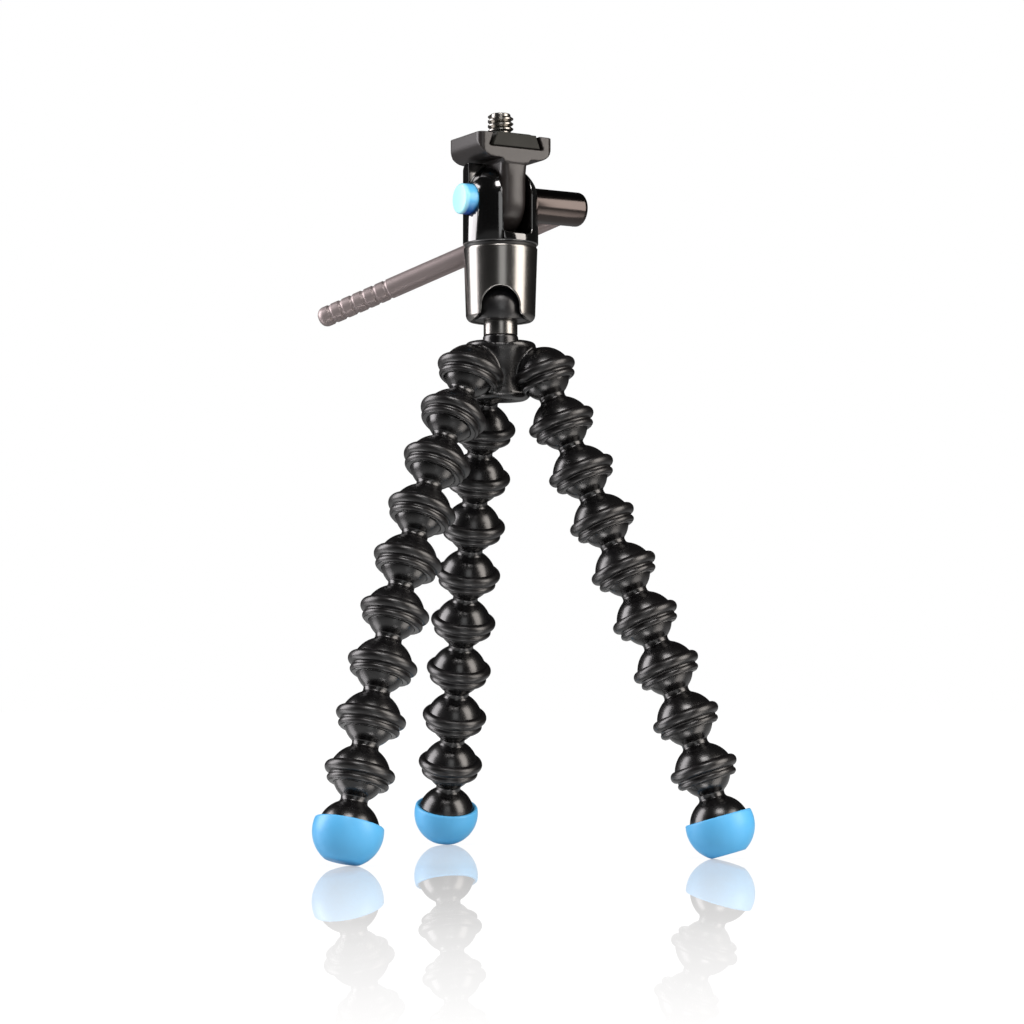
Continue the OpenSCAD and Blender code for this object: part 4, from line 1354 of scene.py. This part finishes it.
def add_clip(head):
    """Camera clip with its rubber pad."""
    slide = frame_copy("clip_slide", "clip_plate")
    narrow = Matrix.Scale(head.clip_share, 4, TILT_AXIS)
    slide.data.transform(narrow)
    dress(edged(slide, head.clip_edge), "clip_plastic", "clip_plate")
    dress(edged(frame_copy("clip_cushion", "clip_pad"), head.clip_edge), "pad_rubber", "clip_pad")


def thread_group():
    """A thread that winds round a screw's core."""
    group = NodeGroup(
        "Screw thread",
        {
            "Turns": "NodeSocketFloat",
            "Radius": "NodeSocketFloat",
            "Height": "NodeSocketFloat",
            "Position": "NodeSocketVector",
            "Material": "NodeSocketMaterial",
        },
    )
    spiral = group.add(
        "GeometryNodeCurveSpiral",
        None,
        {
            "Resolution": THREAD_STEPS,
            "Rotations": group.inputs["Turns"],
            "Start Radius": group.inputs["Radius"],
            "End Radius": group.inputs["Radius"],
            "Height": group.inputs["Height"],
            "Reverse": True,
        },
    )
    upright = group.add("GeometryNodeSetCurveNormal", {"mode": "Z_UP"}, {"Curve": spiral})
    section = group.add("GeometryNodeMeshToCurve", None, {0: group.inputs["Geometry"]})
    swept = group.add(
        "GeometryNodeCurveToMesh", None, {"Curve": upright, "Profile Curve": section, "Fill Caps": True}
    )
    stood = group.add(
        "GeometryNodeTransform", None, {"Geometry": swept, "Translation": group.inputs["Position"]}
    )
    return group.close(stood)


def add_camera_screw(head):
    """Camera screw: turned core with its head, and the thread round it."""
    low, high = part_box("camera_screw")
    pad_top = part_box("clip_pad")[1].z
    screw_r = head.screw_d / 2
    core_r = screw_r - head.thread_depth
    top = (high.z - low.z) / MM
    foot = (pad_top - low.z) / MM
    head_t = head.screw_head_t
    head_r = head.screw_head_d / 2
    points = [(0, top), (core_r - head.clip_edge, top), (core_r, top - head.clip_edge)]
    points += [(core_r, head_t), (head_r, head_t), (head_r, 0), (0, 0)]
    core = turned("screw_core", softened(points, head.clip_edge), Vector((0, 0, low.z)), UP, segments=72)
    beyond = 1
    coin = [(-head_r - beyond, -beyond), (head_r + beyond, -beyond)]
    coin += [(head_r + beyond, head_t / 2), (-head_r - beyond, head_t / 2)]
    stand = axes_frame(Vector((0, 0, low.z)), Vector((1, 0, 0)), UP)
    core = smooth(cut_away(core, [prism("coin", coin, head.coin_w / 2, stand)]))
    dress(core, "camera_screw_steel", "camera_screw")

    half = head.thread_pitch / 2
    crest = head.thread_pitch / 8
    sunk = head.clip_edge
    outline = [(-sunk, -half), (0, -half), (head.thread_depth, -crest), (head.thread_depth, crest)]
    outline += [(0, half), (-sunk, half)]
    mesh = bpy.data.meshes.new("screw_thread")
    edges = [(index, (index + 1) % len(outline)) for index in range(len(outline))]
    mesh.from_pydata([(x * MM, y * MM, 0) for x, y in outline], edges, [])
    tall = top - foot - head.thread_pitch
    values = {
        "Turns": tall / head.thread_pitch,
        "Radius": core_r * MM,
        "Height": tall * MM,
        "Position": (0, 0, pad_top + half * MM),
    }
    thread = smooth(grown(new_object("screw_thread", mesh), THREAD, values), SMOOTH_THREAD)
    dress(thread, "camera_screw_steel", "camera_screw", hides=False)


KEPT_FINISHES = {
    "inner_plastic": ("ball_liner", "pan_washer", "tilt_washers"),
    "spring_steel": ("liner_spring", "pan_spring_washer", "button_spring"),
    "screw_steel": ("hub_screw", "socket_plug", "pan_screw", "tilt_axle", "handle_pin", "screw_retainer"),
    "magnet_plating": tuple(f"{leg}_foot_magnet" for leg in LEGS),
}


def add_inner_finishes():
    """Finishes of the hidden pieces that keep their own shapes."""
    for slot, nodes in KEPT_FINISHES.items():
        for node in nodes:
            NODES[node].data.materials.clear()
            NODES[node].data.materials.append(FINISHES[slot])


# Studio, in metres and watts

# Half the width of the floor
FLOOR_REACH = 4.0

# Floor: its own grey, and how bright it looks to diffuse and to glossy rays
FLOOR_GREY = (0.16, 0.16, 0.16, 1)
FLOOR_SPREAD = 0.6
FLOOR_MIRRORED = 0.08

# Floor's mirror: distances at which each part of it fades in, and its share
FAR_MIRROR = (0.43, 0.2, 0.32)
NEAR_MIRROR = (0.22, 0.08, 0.2)

# Floor's glow: distances over which it rises, its rise and its least
FLOOR_GLOW = (0.2, 1.2, 0.12, 0.88)

# Brightness of the surroundings in glossy surfaces, what sharp mirrors add to it, and on matt surfaces
GLOSSY_WORLD = 0.02
SHARP_WORLD = 0.98
MATT_WORLD = 0.35

WHITE = (1, 1, 1, 1)

# Point that the lamps face
MIDDLE = (0, 0, 0.09)

# Lamps: place, size, power and tint
LAMPS = {
    "left_box": ((-0.65, 0.08, 0.32), (0.42, 0.6), 5.0, (1.0, 0.96, 0.98)),
    "right_box": ((0.59, -0.27, 0.32), (0.42, 0.6), 4.4, (1.0, 0.93, 0.87)),
    "front_box": ((0.0, -0.5, 0.75), (0.34, 0.22), 2.7, (1.0, 0.96, 0.95)),
    "fill_box": ((0.1, -0.95, 0.3), (0.35, 0.5), 0.75, (1, 1, 1)),
}

# Camera: place, pitch in degrees, focal length and sensor in millimetres, nearest distance
CAMERA_PLACE = (0.002836, -0.713639, 0.041243)
CAMERA_PITCH = 93.4567
CAMERA_LENS = 101.98
CAMERA_SENSOR = 36
CAMERA_NEAR = 0.01


def ray(flow, kind):
    """1 for rays of one kind, and 0 for others."""
    return flow.node("ShaderNodeLightPath", output=f"Is {kind} Ray")


def area_lamp(name, where, size, power, tint):
    """A soft rectangular lamp that faces the tripod."""
    light = bpy.data.lights.new(name, "AREA")
    light.shape = "RECTANGLE"
    light.size = size[0]
    light.size_y = size[1]
    light.energy = power
    light.color = tint
    made = new_object(name, light)
    made.location = where
    made.rotation_euler = (Vector(MIDDLE) - Vector(where)).to_track_quat("-Z", "Y").to_euler()


def studio_floor():
    """Pale glossy floor that mirrors the feet near the tripod and is plain white further out."""

    def paint(flow):
        around = ray(flow, "Diffuse") * FLOOR_SPREAD + ray(flow, "Glossy") * FLOOR_MIRRORED
        shown = flow.maths("MAXIMUM", ray(flow, "Camera"), around)
        away = flow.node("ShaderNodeVectorMath", {"operation": "LENGTH"}, {0: place(flow)}, output="Value")
        far, near = (
            contrast(flow, away, outer, inner) * share for outer, inner, share in (FAR_MIRROR, NEAR_MIRROR)
        )
        start, end, rising, least = FLOOR_GLOW
        glow = contrast(flow, away, start, end) * rising + least
        matt = flow.node("ShaderNodeBsdfDiffuse", None, {"Color": FLOOR_GREY})
        lit = flow.node("ShaderNodeEmission", None, {"Color": WHITE, "Strength": shown * glow})
        white = flow.node("ShaderNodeAddShader", None, {0: matt, 1: lit})
        gloss = flow.node("ShaderNodeBsdfGlossy", None, {"Color": WHITE, "Roughness": 0.0})
        return flow.node("ShaderNodeMixShader", None, {0: far + near, 1: white, 2: gloss})

    return finish("studio_floor", paint)


def studio_world():
    """White surroundings, which glossy surfaces other than the floor hardly see."""
    world = bpy.data.worlds.new("studio")
    world.use_nodes = True
    tree = world.node_tree
    tree.nodes.clear()
    start = Flow(tree)
    mirrored = ray(start, "Glossy")
    shown = start.maths("MAXIMUM", ray(start, "Camera"), ray(start, "Transmission"))
    glossy = mirrored * (ray(start, "Singular") * SHARP_WORLD + GLOSSY_WORLD)
    matt = (1 - mirrored) * MATT_WORLD
    strength = start.maths("MAXIMUM", start.maths("MAXIMUM", shown, glossy), matt)
    light = start.node("ShaderNodeBackground", None, {"Color": WHITE, "Strength": strength})
    start.node("ShaderNodeOutputWorld", None, {"Surface": light})
    return world


def studio_camera():
    """Camera in front of the tripod, near the floor."""
    lens = bpy.data.cameras.new("camera")
    lens.lens = CAMERA_LENS
    lens.sensor_width = CAMERA_SENSOR
    lens.clip_start = CAMERA_NEAR
    camera = new_object("camera", lens)
    camera.location = CAMERA_PLACE
    camera.rotation_euler = (math.radians(CAMERA_PITCH), 0, 0)
    return camera


def add_stage():
    """Floor, white surroundings, soft lamps and the camera."""
    reach = FLOOR_REACH
    corners = [(-reach, -reach, 0), (reach, -reach, 0), (reach, reach, 0), (-reach, reach, 0)]
    mesh = bpy.data.meshes.new("floor")
    mesh.from_pydata(corners, [], [(0, 1, 2, 3)])
    floor = new_object("floor", mesh)
    mesh.materials.append(studio_floor())
    bpy.context.scene.world = studio_world()
    for name, settings in LAMPS.items():
        area_lamp(name, *settings)
    bpy.context.scene.camera = studio_camera()
    bpy.context.scene.view_settings.view_transform = "Standard"


# What the operators share

FINISHES = {}
TURNED = turned_group()
THREAD = thread_group()


class TripodOperator:
    """What the tripod's operators share."""

    bl_options = {"REGISTER", "UNDO"}

    def execute(self, context):
        scene = context.scene
        self.build(millimetres(scene.tripod_legs), millimetres(scene.tripod_head))
        return {"FINISHED"}


# Operators, one for each group of like pieces


class TRIPOD_OT_links(TripodOperator, bpy.types.Operator):
    """Builds the shells and grip rings of the leg links"""

    bl_idname = "tripod.links"
    bl_label = "Leg links"

    def build(self, legs, head):
        add_links(legs)


class TRIPOD_OT_feet(TripodOperator, bpy.types.Operator):
    """Builds the foot bodies and their rubber caps"""

    bl_idname = "tripod.feet"
    bl_label = "Feet"

    def build(self, legs, head):
        add_feet(legs)


class TRIPOD_OT_hub(TripodOperator, bpy.types.Operator):
    """Builds the hub, its rings, the stem and the head's ball"""

    bl_idname = "tripod.hub"
    bl_label = "Hub and ball"

    def build(self, legs, head):
        add_hub(legs, head)
        add_ball(legs, head)


class TRIPOD_OT_socket(TripodOperator, bpy.types.Operator):
    """Builds the polished sleeve"""

    bl_idname = "tripod.socket"
    bl_label = "Sleeve"

    def build(self, legs, head):
        add_socket(head)


class TRIPOD_OT_yoke(TripodOperator, bpy.types.Operator):
    """Builds the yoke and the release button"""

    bl_idname = "tripod.yoke"
    bl_label = "Yoke and button"

    def build(self, legs, head):
        add_yoke(head)
        add_button(head)


class TRIPOD_OT_platform(TripodOperator, bpy.types.Operator):
    """Builds the tilting platform and the handle's barrel"""

    bl_idname = "tripod.platform"
    bl_label = "Platform and barrel"

    def build(self, legs, head):
        add_platform(head)
        add_barrel(head)


class TRIPOD_OT_handle(TripodOperator, bpy.types.Operator):
    """Builds the handle rod"""

    bl_idname = "tripod.handle"
    bl_label = "Handle rod"

    def build(self, legs, head):
        add_handle(head)


class TRIPOD_OT_clip(TripodOperator, bpy.types.Operator):
    """Builds the camera clip and its pad"""

    bl_idname = "tripod.clip"
    bl_label = "Camera clip"

    def build(self, legs, head):
        add_clip(head)


class TRIPOD_OT_camera_screw(TripodOperator, bpy.types.Operator):
    """Builds the camera screw and its thread"""

    bl_idname = "tripod.camera_screw"
    bl_label = "Camera screw"

    def build(self, legs, head):
        add_camera_screw(head)


class TRIPOD_OT_inner(TripodOperator, bpy.types.Operator):
    """Gives the hidden pieces their finishes"""

    bl_idname = "tripod.inner"
    bl_label = "Hidden pieces"

    def build(self, legs, head):
        add_inner_finishes()


class TRIPOD_OT_stage(TripodOperator, bpy.types.Operator):
    """Builds the floor, the lamps and the camera"""

    bl_idname = "tripod.stage"
    bl_label = "Studio"

    def build(self, legs, head):
        add_stage()


OPERATORS = (
    TRIPOD_OT_links,
    TRIPOD_OT_feet,
    TRIPOD_OT_hub,
    TRIPOD_OT_socket,
    TRIPOD_OT_yoke,
    TRIPOD_OT_platform,
    TRIPOD_OT_handle,
    TRIPOD_OT_clip,
    TRIPOD_OT_camera_screw,
    TRIPOD_OT_inner,
    TRIPOD_OT_stage,
)


class TRIPOD_PT_panel(bpy.types.Panel):
    """Sidebar panel with the tripod's operators and settings"""

    bl_idname = "TRIPOD_PT_panel"
    bl_label = "Flexible leg tripod"
    bl_space_type = "VIEW_3D"
    bl_region_type = "UI"
    bl_category = "Tripod"

    def draw(self, context):
        for operator in OPERATORS:
            self.layout.operator(operator.bl_idname)
        scene = context.scene
        for group in (scene.tripod_legs, scene.tripod_head, scene.tripod_finishes):
            column = self.layout.column()
            for name in setting_names(group):
                column.prop(group, name)


GROUPS = {
    "tripod_legs": TRIPOD_PG_legs,
    "tripod_head": TRIPOD_PG_head,
    "tripod_finishes": TRIPOD_PG_finishes,
}


def register():
    """Adds the settings, the operators and the panel."""
    for name, group in GROUPS.items():
        bpy.utils.register_class(group)
        setattr(bpy.types.Scene, name, bpy.props.PointerProperty(type=group))
    for operator in OPERATORS:
        bpy.utils.register_class(operator)
    bpy.utils.register_class(TRIPOD_PT_panel)


def unregister():
    """Takes away what register adds."""
    bpy.utils.unregister_class(TRIPOD_PT_panel)
    for operator in reversed(OPERATORS):
        bpy.utils.unregister_class(operator)
    for name, group in GROUPS.items():
        delattr(bpy.types.Scene, name)
        bpy.utils.unregister_class(group)


def main():
    """Builds the tripod and its studio."""
    register()
    FINISHES.update(make_finishes(bpy.context.scene.tripod_finishes))
    for operator in OPERATORS:
        getattr(bpy.ops.tripod, operator.bl_idname.split(".")[1])()


if __name__ == "__main__":
    main()
